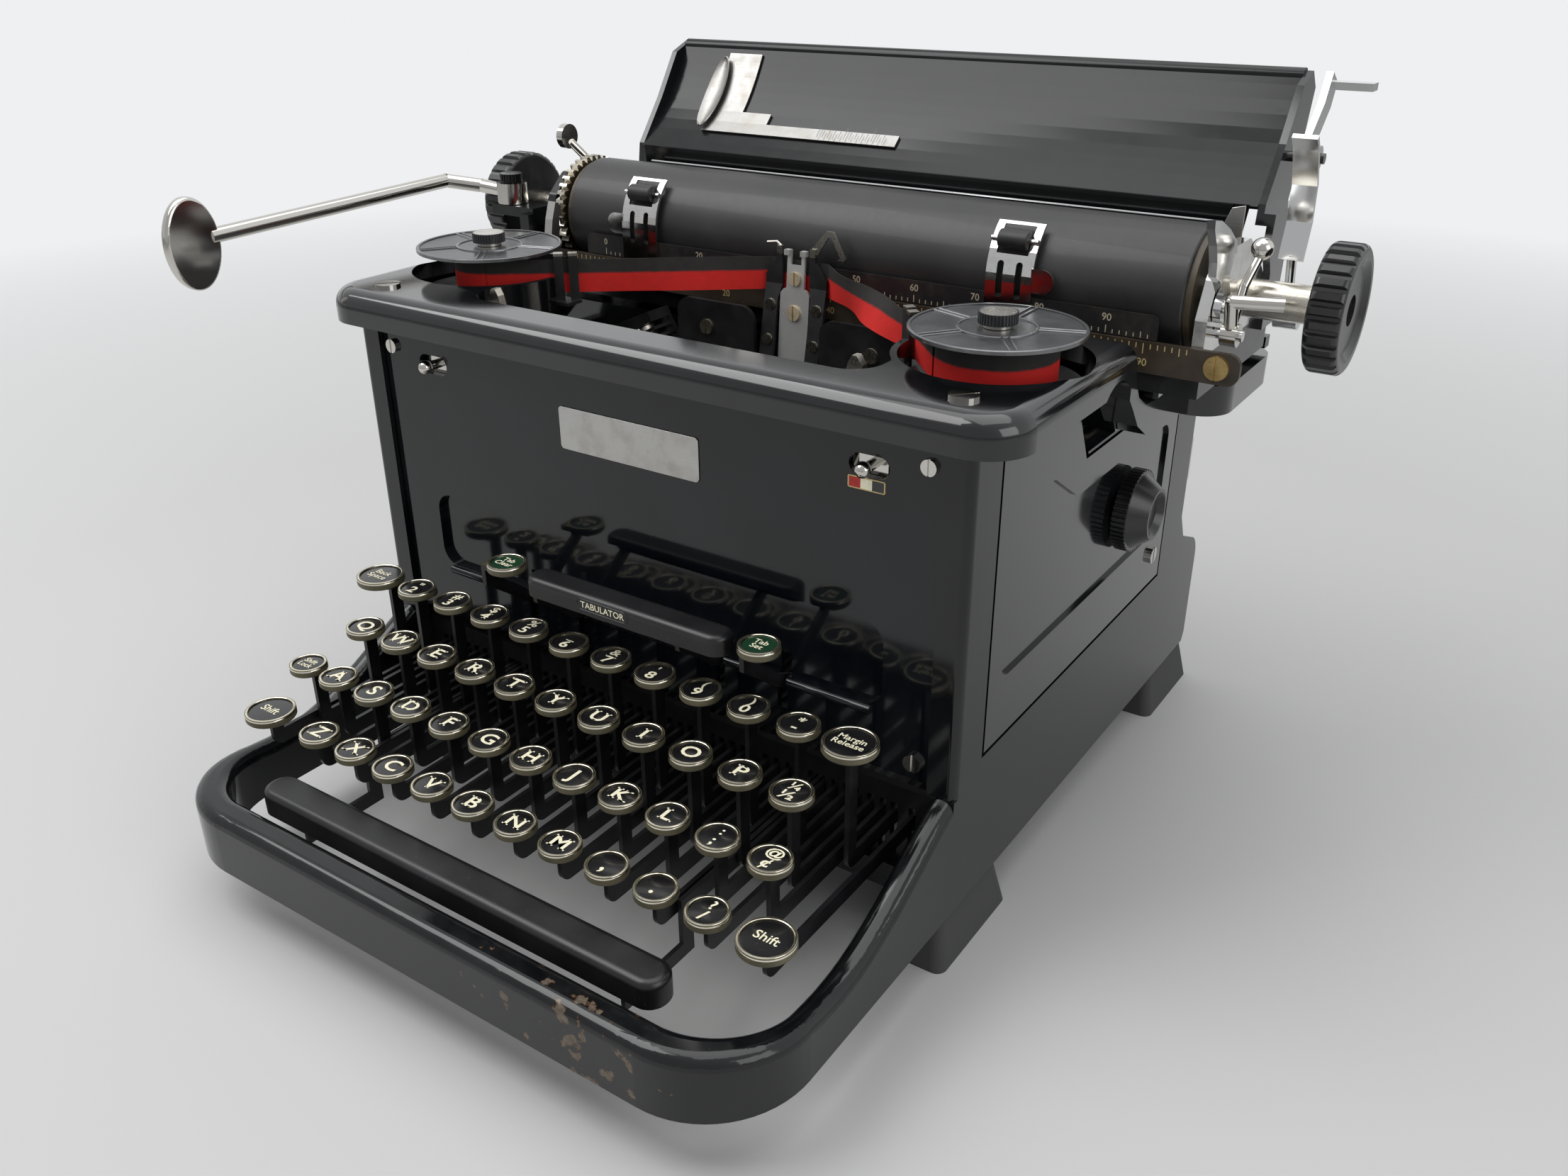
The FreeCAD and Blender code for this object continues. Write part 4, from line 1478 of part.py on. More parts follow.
# ------------------------------------------------------------------ build
def build():
    """Make every node."""
    parts = {
        "main_frame": main_frame(),
        "side_panels": side_panels(),
        "front_panel": front_panel(),
        "top_cover": top_cover(),
        "carriage_bed": carriage_bed(),
        "rear_cover": rear_cover(),
        "rubber_feet": rubber_feet(),
        "frame_hardware": frame_hardware(),
        "key_rack": key_rack(),
        "number_row_keys": key_bank("number"),
        "upper_row_keys": key_bank("upper"),
        "home_row_keys": key_bank("home"),
        "bottom_row_keys": key_bank("bottom"),
        "letter_key": lone_key(),
        "space_bar": space_bar(),
        "tabulator_bar": tabulator_bar(),
        "tab_clear_key": tab_key(TAB_CLEAR_X, TAB_CLEAR_STEM_X),
        "tab_set_key": tab_key(TAB_SET_X, TAB_SET_STEM_X),
        "shift_keys": group(special_key(-SHIFT_X, -SHIFT_X, 0, SHIFT_R)
                            + special_key(SHIFT_X, SHIFT_X, 0, SHIFT_R)),
        "shift_lock_key": group(special_key(SHIFT_LOCK_LEVER_X, SHIFT_LOCK_X, 1, SHIFT_LOCK_R)),
        "backspace_key": group(special_key(BACKSPACE_LEVER_X, BACKSPACE_X, 3, BACKSPACE_R)),
        "margin_release_key": group(special_key(MARGIN_KEY_X, MARGIN_KEY_X, 3, SHIFT_R)),
        "type_segment": type_segment(),
        "type_bars": type_bars(),
        "active_type_bar": type_bar(ACTIVE_BAR),
        "type_guide": type_guide(),
        "spool_left": spool(-1),
        "spool_right": spool(1),
        "ribbon_left": ribbon_pack(-1, PACK_R_LEFT),
        "ribbon_right": ribbon_pack(1, PACK_R_RIGHT),
        "ribbon_span": ribbon_span(),
        "ribbon_guides": ribbon_guides(),
        "ribbon_vibrator": ribbon_vibrator(),
        "touch_stud": stud(-1),
        "color_selector": stud(1),
        "side_knob": side_knob(),
        "carriage_frame": fused([carriage_frame(), lever_bracket(), pawl_pin()] + pivot_pins()),
        "platen_rubber": platen_rubber(),
        "platen_core": platen_core(),
        "platen_knobs": platen_knobs(),
        "paper_scale": paper_scale(),
        "margin_scale": margin_scale(),
        "margin_stop_left": margin_stop(-100.0),
        "margin_stop_right": margin_stop(112.0),
        "paper_finger_left": paper_finger(FINGER_LEFT_X, -1),
        "paper_finger_right": paper_finger(FINGER_RIGHT_X, 1),
        "paper_table": paper_table(),
        "table_brackets": table_brackets(),
        "paper_guide": paper_guide(),
        "table_arm": table_arm(),
        "return_lever": return_lever(),
        "line_space_pawl": line_space_pawl(),
        "carriage_release_left": release_left(),
        "carriage_release_right": release_right(),
        "detent_lever": detent_lever(),
        "paper_release": paper_release(),
        "feed_rollers": feed_rollers(),
        "mainspring_drum": mainspring_drum(),
        "escapement_wheel": escapement_wheel(),
        "bell": bell(),
    }
    os.makedirs("parts", exist_ok=True)
    for name, shape in parts.items():
        shape.exportStep("parts/" + name + ".step")


build()
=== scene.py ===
"""Finishes and fine detail for a desk typewriter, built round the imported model.

Every length is in millimetres in the model's own frame: +X to the typist's right, +Y to the
rear, +Z up, with the origin on the table between the feet.
"""

from __future__ import annotations

import logging
import math
from collections.abc import Callable, Iterable, Sequence
from dataclasses import dataclass, field
from enum import Enum

import bmesh
import bpy
from mathutils import Matrix, Quaternion, Vector

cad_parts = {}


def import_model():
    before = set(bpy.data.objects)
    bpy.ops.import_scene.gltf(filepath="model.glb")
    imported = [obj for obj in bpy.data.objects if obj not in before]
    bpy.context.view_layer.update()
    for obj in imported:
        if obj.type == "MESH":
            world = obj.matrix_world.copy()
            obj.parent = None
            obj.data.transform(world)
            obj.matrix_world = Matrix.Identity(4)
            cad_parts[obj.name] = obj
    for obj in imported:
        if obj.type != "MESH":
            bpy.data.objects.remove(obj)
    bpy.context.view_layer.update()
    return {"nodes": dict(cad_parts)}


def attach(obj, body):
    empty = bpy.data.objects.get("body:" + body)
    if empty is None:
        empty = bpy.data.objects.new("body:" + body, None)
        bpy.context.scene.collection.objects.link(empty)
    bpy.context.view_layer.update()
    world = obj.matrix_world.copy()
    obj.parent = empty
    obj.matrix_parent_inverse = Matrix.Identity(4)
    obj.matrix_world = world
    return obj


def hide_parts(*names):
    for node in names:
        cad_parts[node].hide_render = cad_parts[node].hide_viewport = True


MM = 0.001
LOG = logging.getLogger("typewriter")

Colour = tuple[float, float, float]
Point = tuple[float, float, float]
Flat = tuple[float, float]


class Axis(Enum):
    """Direction of a metal's grain or of a band."""

    X = 0
    Y = 1
    Z = 2


class Side(Enum):
    """Typist's left or right."""

    LEFT = -1
    RIGHT = 1


# --------------------------------------------------------------------------- shader maths
class Shade:
    """One number output of a material's node tree, usable in Python expressions."""

    def __init__(self, graph: Nodes, socket: bpy.types.NodeSocket) -> None:
        """Wraps a socket of a node tree."""
        self.graph = graph
        self.socket = socket

    def _maths(self, operation: str, left: Shade | float, right: Shade | float | None = None,
               clamp: bool = False) -> Shade:
        """Adds one Math node.

        Args:
            operation: Blender's name of the operation.
            left: First operand.
            right: Second operand, where there is one.
            clamp: Whether the result stays between 0 and 1.

        Returns:
            The result.
        """
        values = {0: left} if right is None else {0: left, 1: right}
        node = self.graph.node("ShaderNodeMath", {"operation": operation, "use_clamp": clamp}, values)
        return Shade(self.graph, node.outputs[0])

    def __add__(self, other: Shade | float) -> Shade:
        """Sum."""
        return self._maths("ADD", self, other)

    def __radd__(self, other: float) -> Shade:
        """Sum with the shade on the right."""
        return self._maths("ADD", other, self)

    def __sub__(self, other: Shade | float) -> Shade:
        """Difference."""
        return self._maths("SUBTRACT", self, other)

    def __rsub__(self, other: float) -> Shade:
        """Difference with the shade on the right."""
        return self._maths("SUBTRACT", other, self)

    def __mul__(self, other: Shade | float) -> Shade:
        """Product."""
        return self._maths("MULTIPLY", self, other)

    def __rmul__(self, other: float) -> Shade:
        """Product with the shade on the right."""
        return self._maths("MULTIPLY", other, self)

    def __gt__(self, other: Shade | float) -> Shade:
        """1 where this is greater, else 0."""
        return self._maths("GREATER_THAN", self, other)

    def __lt__(self, other: Shade | float) -> Shade:
        """1 where this is less, else 0."""
        return self._maths("LESS_THAN", self, other)

    def root(self) -> Shade:
        """Square root."""
        return self._maths("SQRT", self)

    def wave(self) -> Shade:
        """Sine."""
        return self._maths("SINE", self)

    def clipped(self) -> Shade:
        """The value held between 0 and 1."""
        return self._maths("ADD", self, 0.0, clamp=True)

    def ramp(self, low: float, high: float) -> Shade:
        """0 at low to 1 at high, held outside."""
        return ((self - low) * (1.0 / (high - low))).clipped()


class Nodes:
    """Node tree whose nodes all come from one method."""

    def __init__(self, tree: bpy.types.NodeTree) -> None:
        """Works on a tree."""
        self.tree = tree

    def node(self, kind: str, settings: dict[str, object] | None = None,
             sockets: dict[int | str, object] | None = None) -> bpy.types.Node:
        """Adds a node.

        Args:
            kind: Node type.
            settings: Properties, which are set first.
            sockets: Values or links of its inputs, by index or name.

        Returns:
            The node.
        """
        made = self.tree.nodes.new(kind)
        for name, value in (settings or {}).items():
            setattr(made, name, value)
        for key, value in (sockets or {}).items():
            self.feed(made.inputs[key], value)
        return made

    def feed(self, socket: bpy.types.NodeSocket, value: object) -> None:
        """Links or sets one input."""
        if isinstance(value, Shade):
            self.tree.links.new(value.socket, socket)
        elif isinstance(value, bpy.types.NodeSocket):
            self.tree.links.new(value, socket)
        elif isinstance(value, tuple) and len(value) == 3 and socket.type == "RGBA":
            socket.default_value = (*value, 1.0)
        else:
            socket.default_value = value


class Graph(Nodes):
    """Node tree of one material, ending in a Principled shader."""

    def __init__(self, name: str) -> None:
        """Starts a material with an empty Principled shader."""
        self.material = bpy.data.materials.new(name)
        self.material.use_nodes = True
        super().__init__(self.material.node_tree)
        self.shader = self.tree.nodes["Principled BSDF"]
        self._position: list[Shade] | None = None
        self._object: bpy.types.NodeSocket | None = None

    def set(self, **sockets: object) -> None:
        """Feeds the shader's inputs; underscores in the names stand for blanks."""
        for name, value in sockets.items():
            self.feed(self.shader.inputs[name.replace("_", " ")], value)

    @property
    def coordinates(self) -> bpy.types.NodeSocket:
        """The object's own coordinates, in metres."""
        if self._object is None:
            self._object = self.node("ShaderNodeTexCoord").outputs["Object"]
        return self._object

    @property
    def position(self) -> list[Shade]:
        """X, Y and Z in millimetres."""
        if self._position is None:
            parts = self.node("ShaderNodeSeparateXYZ", None, {0: self.coordinates})
            self._position = [Shade(self, parts.outputs[i]) * (1.0 / MM) for i in range(3)]
        return self._position

    def normal_z(self) -> Shade:
        """How far the surface faces up."""
        normal = self.node("ShaderNodeNewGeometry").outputs["Normal"]
        return Shade(self, self.node("ShaderNodeSeparateXYZ", None, {0: normal}).outputs[2])

    def noise(self, size: float, detail: float, stretch: Point = (1.0, 1.0, 1.0),
              seed: float = 0.0) -> Shade:
        """Noise between 0 and 1.

        Args:
            size: Grain in millimetres.
            detail: Octaves.
            stretch: Factors on X, Y and Z.
            seed: Shift that makes one pattern unlike the next.

        Returns:
            The noise.
        """
        moved = self.node("ShaderNodeMapping", None, {
            "Vector": self.coordinates, "Scale": stretch, "Location": (seed, seed * 0.37, seed * 0.71)})
        made = self.node("ShaderNodeTexNoise", None, {
            "Vector": moved.outputs[0], "Scale": 1.0 / (size * MM), "Detail": detail, "Roughness": 0.55})
        return Shade(self, made.outputs[0])

    def mix(self, share: Shade | float, first: object, second: object) -> bpy.types.NodeSocket:
        """Colour between two colours."""
        made = self.node("ShaderNodeMix", {"data_type": "RGBA"}, {0: share, 6: first, 7: second})
        return made.outputs[2]

    def bump(self, height: Shade, depth: float, strength: float) -> None:
        """Lays relief of the given depth, in millimetres, on the surface."""
        made = self.node("ShaderNodeBump", None, {
            "Strength": strength, "Distance": depth * MM, "Height": height})
        self.set(Normal=made.outputs[0])

    def square_to(self, place: Sequence[float | None]) -> Shade:
        """Square of the distance to a point, a None leaving that direction out."""
        total: Shade | None = None
        for axis, value in zip(self.position, place):
            if value is not None:
                square = (axis - value) * (axis - value)
                total = square if total is None else total + square
        assert total is not None
        return total

    def near(self, place: Sequence[float | None], radius: float) -> Shade:
        """1 within a radius of a point, a None leaving that direction out."""
        return self.square_to(place) < radius * radius

    def band(self, axis: Axis, low: float, high: float) -> Shade:
        """1 between two places on an axis."""
        place = self.position[axis.value]
        return (place > low) * (place < high)


# --------------------------------------------------------------------------- finishes
COAT_ROUGH = 0.08
DUST = (0.1, 0.095, 0.09)
PRIMER = (0.09, 0.045, 0.02)
RUSTED_IRON = (0.05, 0.036, 0.024)
BARE_IRON = (0.26, 0.22, 0.17)


def scaled(colour: Colour, factor: float, lift: float = 0.0) -> Colour:
    """A colour times a factor, then raised by the same amount in each channel."""
    red, green, blue = (part * factor + lift for part in colour)
    return red, green, blue


@dataclass(frozen=True)
class Finish:
    """What every finish has: its colour, roughness, metal, clear coat and gleam."""

    name: str
    colour: Colour
    rough: float
    metal: float = 0.0
    coat: float = 0.0
    gleam: float = 0.5

    def material(self) -> bpy.types.Material:
        """The finish's material, made once."""
        found = bpy.data.materials.get(self.name)
        if found is not None:
            return found
        graph = Graph(self.name)
        graph.set(Base_Color=self.colour, Roughness=self.rough, Metallic=self.metal,
                  Specular_IOR_Level=self.gleam)
        if self.coat:
            graph.set(Coat_Weight=self.coat, Coat_Roughness=COAT_ROUGH)
        self.dress(graph)
        return graph.material

    def dress(self, graph: Graph) -> None:
        """Adds what varies over the surface; each kind of finish has its own."""
        raise NotImplementedError


@dataclass(frozen=True)
class Enamel(Finish):
    """Black stoving enamel with dust on its upward faces and an optional worn place."""

    dust: float = 0.25
    worn: tuple[Point, float] | None = None
    peel: float = 0.5

    def dress(self, graph: Graph) -> None:
        """Orange peel, dust, fine scratches and chips."""
        cloud = graph.noise(30.0, 5.0)
        fine = graph.noise(2.2, 4.0, seed=3.0)
        specks = graph.noise(9.0, 6.0, seed=7.0).ramp(0.42, 0.7)
        settle = graph.normal_z().ramp(0.2, 0.95) * specks * self.dust
        paint = graph.mix(cloud.ramp(0.35, 0.7), self.colour, scaled(self.colour, 1.5, 0.002))
        paint = graph.mix(settle, paint, DUST)
        rough = self.rough + settle * 0.6 + fine.ramp(0.55, 0.85) * 0.05 + cloud * 0.03
        height = graph.noise(5.0, 2.0, seed=1.0) * self.peel
        if self.worn is not None:
            bare, chipped = self.chips(graph, *self.worn)
            iron = graph.mix(graph.noise(1.6, 5.0), RUSTED_IRON, BARE_IRON)
            paint = graph.mix(chipped, paint, PRIMER)
            paint = graph.mix(bare, paint, iron)
            rough = rough + bare * 0.25
            height = height - bare * 0.6
            graph.set(Metallic=bare * 0.7)
        graph.set(Base_Color=paint, Roughness=rough.clipped())
        graph.bump(height, 0.03, 0.35)

    @staticmethod
    def chips(graph: Graph, place: Point, reach: float) -> tuple[Shade, Shade]:
        """Chips round a worn place.

        Args:
            graph: The material's node tree.
            place: Middle of the wear.
            reach: How far from it the chips go.

        Returns:
            Masks of the bare metal and of the whole chips, primer rims included.
        """
        region = 1.0 - graph.square_to(place).root().ramp(reach * 0.25, reach)
        flakes = graph.noise(6.5, 8.0, seed=5.0) + region * 0.13
        inside = region.ramp(0.0, 0.1)
        return flakes.ramp(0.72, 0.74) * inside, flakes.ramp(0.7, 0.72) * inside


@dataclass(frozen=True)
class Plated(Finish):
    """Nickel, chrome or steel, dulled in clouds and pitted a little."""

    tarnish: Colour = (0.25, 0.2, 0.13)
    age: float = 0.5
    grain: Axis | None = None

    def tones(self, graph: Graph) -> tuple[bpy.types.NodeSocket, Shade, Shade]:
        """Colour, roughness and relief of the metal."""
        cloud = graph.noise(7.0, 6.0, seed=2.0)
        spots = graph.noise(1.1, 5.0, seed=9.0).ramp(0.58, 0.72)
        dull = (cloud.ramp(0.45, 0.8) * self.age + spots * self.age * 0.7).clipped()
        colour = graph.mix(dull, self.colour, self.tarnish)
        rough = self.rough + dull * 0.3
        relief = spots * -1.0
        if self.grain is not None:
            scale = [1.0, 1.0, 1.0]
            scale[self.grain.value] = 0.03
            lines = graph.noise(0.5, 3.0, stretch=(scale[0], scale[1], scale[2]), seed=4.0)
            rough = rough + lines * 0.18
            relief = relief + lines
        return colour, rough, relief

    def dress(self, graph: Graph) -> None:
        """Clouded tarnish, spots and, where drawn or brushed, its grain."""
        colour, rough, relief = self.tones(graph)
        graph.set(Base_Color=colour, Roughness=rough.clipped())
        graph.bump(relief, 0.012, 0.4)


@dataclass(frozen=True)
class TwoTone(Plated):
    """Metal on part of a node and a dark finish on the rest."""

    dark: Colour = (0.012, 0.012, 0.013)
    dark_rough: float = 0.35
    where: Callable[[Graph], Shade] | None = None

    def dress(self, graph: Graph) -> None:
        """Metal where the mask is 1, dark elsewhere."""
        assert self.where is not None
        mask = self.where(graph)
        colour, rough, relief = self.tones(graph)
        cloud = graph.noise(8.0, 5.0, seed=6.0)
        dark = graph.mix(cloud.ramp(0.4, 0.8), self.dark, scaled(self.dark, 1.8, 0.004))
        graph.set(Base_Color=graph.mix(mask, dark, colour), Metallic=mask * self.metal,
                  Roughness=(mask * rough + (1.0 - mask) * (self.dark_rough + cloud * 0.15)).clipped())
        graph.bump(relief, 0.012, 0.35)


@dataclass(frozen=True)
class Moulded(Finish):
    """Dense black moulding, satin from handling."""

    grit: float = 0.6

    def dress(self, graph: Graph) -> None:
        """Fine pebble with polished and dusty places."""
        touch = graph.noise(18.0, 5.0, seed=8.0)
        specks = graph.noise(0.7, 3.0, seed=11.0).ramp(0.68, 0.76)
        tone = graph.mix(touch.ramp(0.4, 0.75), self.colour, scaled(self.colour, 1.6, 0.003))
        graph.set(Base_Color=graph.mix(specks * 0.5, tone, (0.16, 0.15, 0.14)),
                  Roughness=(self.rough + touch * 0.15 + specks * 0.2).clipped())
        graph.bump(graph.noise(0.8, 3.0, seed=12.0), 0.03 * self.grit, 0.5)


@dataclass(frozen=True)
class RollRubber(Finish):
    """Hard platen rubber with faint rings from the type."""

    def dress(self, graph: Graph) -> None:
        """Lengthwise sheen, dust and print marks."""
        x, _, _ = graph.position
        marks = graph.noise(1.4, 5.0, stretch=(1.0, 0.25, 0.25), seed=2.0)
        haze = graph.noise(26.0, 5.0, seed=5.0)
        rings = (x * 2.47).wave() * 0.5 + 0.5
        bloom = haze.ramp(0.35, 0.75) * 0.6 + marks * 0.15
        graph.set(Base_Color=graph.mix(bloom, self.colour, (0.035, 0.034, 0.033)),
                  Roughness=(self.rough + marks * 0.14 + haze * 0.12).clipped())
        graph.bump(marks + rings * 0.15, 0.02, 0.5)


@dataclass(frozen=True)
class InkRibbon(Finish):
    """Woven ribbon, black over red."""

    middle: float = 196.1
    red: Colour = (0.75, 0.016, 0.01)

    def dress(self, graph: Graph) -> None:
        """Fine weave and the two inked bands."""
        x, y, z = graph.position
        weave = ((x + y * 0.7) * 14.0).wave() * 0.5 + (z * 16.0).wave() * 0.5
        blur = graph.noise(3.0, 4.0) * 0.8
        split = (z + blur).ramp(self.middle, self.middle + 0.8)
        black = graph.mix(graph.noise(4.0, 5.0, seed=3.0), self.colour, (0.035, 0.032, 0.03))
        red = graph.mix(graph.noise(4.0, 5.0, seed=6.0), self.red, (0.55, 0.012, 0.009))
        graph.set(Base_Color=graph.mix(split, red, black))
        graph.bump(weave, 0.05, 0.4)


@dataclass(frozen=True)
class Pigment(Finish):
    """Printed or filled lettering."""

    def dress(self, graph: Graph) -> None:
        """Slightly uneven ink."""
        fade = graph.noise(1.2, 4.0, seed=4.0).ramp(0.4, 0.85) * 0.5
        graph.set(Base_Color=graph.mix(fade, self.colour, scaled(self.colour, 0.6)))


BLACK = (0.0028, 0.0032, 0.0040)
ENAMEL = Enamel("enamel_cast", BLACK, 0.09, coat=0.5, dust=0.03, peel=0.35)
# Middle and reach of the wear on the front loop.
LOOP_WEAR: tuple[Point, float] = ((70.0, -226.0, 24.0), 52.0)
ENAMEL_LOOP = Enamel("enamel_frame", BLACK, 0.08, dust=0.05, worn=LOOP_WEAR, peel=0.35)
ENAMEL_SHEET = Enamel("enamel_sheet", (0.0026, 0.0034, 0.0050), 0.06, dust=0.02, peel=0.2)
ENAMEL_TABLE = Enamel("enamel_table", (0.0030, 0.0034, 0.0040), 0.15, gleam=0.33, dust=0.04, peel=0.2)
NICKEL = Plated("nickel", (0.62, 0.59, 0.53), 0.2, metal=1.0, age=0.45, tarnish=(0.3, 0.25, 0.18))
CHROME = Plated("chrome", (0.68, 0.68, 0.68), 0.1, metal=1.0, age=0.2)
STEEL = Plated("steel_brushed", (0.5, 0.495, 0.48), 0.24, metal=1.0, age=0.3, grain=Axis.X)
# Darker copy of the brushed steel: painted shade that tones down the key lamp on the paper guide and its
# leaf.
GUIDE_STEEL_PAINTED_SHADE = Plated("guide_steel", (0.33, 0.325, 0.315), 0.28, metal=1.0, age=0.35, grain=Axis.X)
# Paler than the steel itself: painted light that makes up for the shade in the type basket.
TYPE_STEEL_PAINTED_LIGHT = Plated("type_steel", (0.72, 0.69, 0.62), 0.34, metal=1.0, age=0.35)
BLACK_STEEL = Plated("black_steel", (0.014, 0.014, 0.016), 0.3, metal=0.4, age=0.3,
                     tarnish=(0.05, 0.04, 0.03))
# The reverse levers' tabs end here towards the rear, and the posts' bright tips start here.
TAB_REAR_Y = -90.0
POST_TIP_Z = 203.0
POST_STEEL = TwoTone(
    "post_steel", (0.6, 0.57, 0.5), 0.24, metal=1.0, dark=(0.012, 0.012, 0.012), dark_rough=0.3,
    where=lambda g: ((g.position[1] < TAB_REAR_Y)
                     + (g.position[2] > POST_TIP_Z) * (g.position[1] > TAB_REAR_Y)))
MOULDING = Moulded("black_moulding", (0.008, 0.008, 0.009), 0.26)
KNOB_MOULDING = Moulded("knob_moulding", (0.009, 0.009, 0.010), 0.22, coat=0.2, grit=0.25)
FOOT_RUBBER = Moulded("foot_rubber", (0.012, 0.012, 0.012), 0.6, grit=1.5)
PLATEN_RUBBER = RollRubber("platen_rubber", (0.017, 0.017, 0.018), 0.34, coat=0.1)
RIBBON = InkRibbon("ink_ribbon", (0.012, 0.011, 0.011), 0.8)
SCALE_BLACK = Plated("scale_black", (0.02, 0.02, 0.021), 0.34, metal=0.2, age=0.4,
                     tarnish=(0.07, 0.055, 0.04))
CREAM_INK = Pigment("cream_ink", (0.93, 0.88, 0.66), 0.5)
GOLD_INK = Pigment("gold_ink", (0.6, 0.47, 0.22), 0.42, metal=0.3)
WHITE_INK = Pigment("white_ink", (0.46, 0.41, 0.29), 0.5)
RED_INK = Pigment("red_ink", (0.45, 0.02, 0.015), 0.45)
FACE_BLACK = Moulded("face_black", (0.006, 0.006, 0.007), 0.12, coat=0.4, grit=0.05)
FACE_GREEN = Moulded("face_green", (0.006, 0.035, 0.015), 0.14, coat=0.4, grit=0.05)
SPOOL_METAL = Plated("spool_metal", (0.2, 0.2, 0.205), 0.2, metal=0.85, age=0.35,
                     tarnish=(0.06, 0.06, 0.06))


# --------------------------------------------------------------------------- meshes
def rectangle(across: Flat, up: Flat) -> list[Flat]:
    """Corners of a rectangle, from the low left one round."""
    return [(across[0], up[0]), (across[1], up[0]), (across[1], up[1]), (across[0], up[1])]


class Piece:
    """One mesh under construction, in millimetres."""

    def __init__(self, name: str) -> None:
        """Starts an empty mesh."""
        self.name = name
        self.points: list[Vector] = []
        self.faces: list[list[int]] = []
        self.kinds: list[int] = []
        self.kind = 0

    def add(self, points: Iterable[Sequence[float]], faces: Iterable[Sequence[int]]) -> None:
        """Adds points and the faces on them."""
        first = len(self.points)
        self.points.extend(Vector(p) for p in points)
        for face in faces:
            self.faces.append([first + i for i in face])
            self.kinds.append(self.kind)

    def turned(self, profile: Sequence[Flat], centre: Point, steps: int,
               closed: bool = False) -> None:
        """Adds an upright turned form.

        Args:
            profile: (radius, height) pairs; a radius of 0 closes it.
            centre: Where height 0 of the axis lies.
            steps: Segments round it.
            closed: Whether the profile joins up into a ring.
        """
        rings: list[list[int]] = []
        points: list[Vector] = []
        for radius, height in profile:
            ring = []
            for index in range(1 if radius == 0 else steps):
                angle = 2.0 * math.pi * index / steps
                local = Vector((radius * math.cos(angle), radius * math.sin(angle), height))
                ring.append(len(points))
                points.append(local + Vector(centre))
            rings.append(ring)
        faces = []
        pairs = list(zip(rings, rings[1:]))
        if closed:
            pairs.append((rings[-1], rings[0]))
        for low, high in pairs:
            for index in range(steps):
                after = (index + 1) % steps
                quad = [low[index % len(low)], low[after % len(low)],
                        high[after % len(high)], high[index % len(high)]]
                face = list(dict.fromkeys(quad))
                if len(face) > 2:
                    faces.append(face)
        self.add(points, faces)

    def block(self, low: Point, high: Point) -> None:
        """Adds a block between two corners."""
        xs, ys, zs = zip(low, high)
        points = [(x, y, z) for x in xs for y in ys for z in zs]
        self.add(points, [(0, 1, 3, 2), (4, 6, 7, 5), (0, 4, 5, 1),
                          (2, 3, 7, 6), (0, 2, 6, 4), (1, 5, 7, 3)])

    def slab(self, outline: Sequence[Flat], place: Callable[[float, float, float], Point],
             depth: float) -> None:
        """Adds a flat plate.

        Args:
            outline: Corners in the plate's own plane.
            place: Gives the point for (across, up, out).
            depth: Thickness, outwards from 0.
        """
        count = len(outline)
        points = [place(a, b, 0.0) for a, b in outline] + [place(a, b, depth) for a, b in outline]
        faces: list[list[int]] = [list(range(count))[::-1], list(range(count, 2 * count))]
        faces += [[i, (i + 1) % count, count + (i + 1) % count, count + i] for i in range(count)]
        self.add(points, faces)

    def tube(self, path: Sequence[Point], radius: float, steps: int, flat: float = 1.0) -> None:
        """Adds a round or oval rod along a path, with closed ends."""
        line = [Vector(p) for p in path]
        rings: list[list[int]] = []
        points: list[Vector] = []
        side: Vector | None = None
        for index, point in enumerate(line):
            way = (line[min(index + 1, len(line) - 1)] - line[max(index - 1, 0)]).normalized()
            if side is None:
                side = way.orthogonal().normalized()
            side = (side - way * side.dot(way)).normalized()
            other = way.cross(side)
            ring = []
            for step in range(steps):
                angle = 2.0 * math.pi * step / steps
                ring.append(len(points))
                points.append(point + side * (radius * math.cos(angle))
                              + other * (radius * flat * math.sin(angle)))
            rings.append(ring)
        faces: list[list[int]] = [rings[0][::-1], rings[-1]]
        for low, high in zip(rings, rings[1:]):
            faces += [[low[i], low[(i + 1) % steps], high[(i + 1) % steps], high[i]]
                      for i in range(steps)]
        self.add(points, faces)

    def sheet(self, rows: Sequence[Sequence[Point]], thickness: float) -> None:
        """Adds a thin closed sheet through a grid of points."""
        across = len(rows[0])
        grid = [[Vector(p) for p in row] for row in rows]
        top: list[Vector] = []
        low: list[Vector] = []
        for r, row in enumerate(grid):
            for c, point in enumerate(row):
                du = row[min(c + 1, across - 1)] - row[max(c - 1, 0)]
                dv = grid[min(r + 1, len(grid) - 1)][c] - grid[max(r - 1, 0)][c]
                normal = du.cross(dv).normalized() * (thickness / 2.0)
                top.append(point + normal)
                low.append(point - normal)
        count = len(top)
        faces: list[list[int]] = []
        for r in range(len(rows) - 1):
            for c in range(across - 1):
                a = r * across + c
                faces.append([a, a + 1, a + across + 1, a + across])
                faces.append([count + a + across, count + a + across + 1, count + a + 1, count + a])
        last = (len(rows) - 1) * across
        edge = list(range(across)) + [r * across + across - 1 for r in range(1, len(rows))]
        edge += list(range(last + across - 2, last - 1, -1))
        edge += [r * across for r in range(len(rows) - 2, 0, -1)]
        for a, b in zip(edge, edge[1:] + edge[:1]):
            faces.append([b, a, count + a, count + b])
        self.add(top + low, faces)

    def absorb(self, mesh: bpy.types.Mesh, place: Callable[[Vector], Point]) -> None:
        """Adds another mesh, moved point by point, and drops that mesh."""
        self.add([place(v.co) for v in mesh.vertices], [tuple(p.vertices) for p in mesh.polygons])
        bpy.data.meshes.remove(mesh)

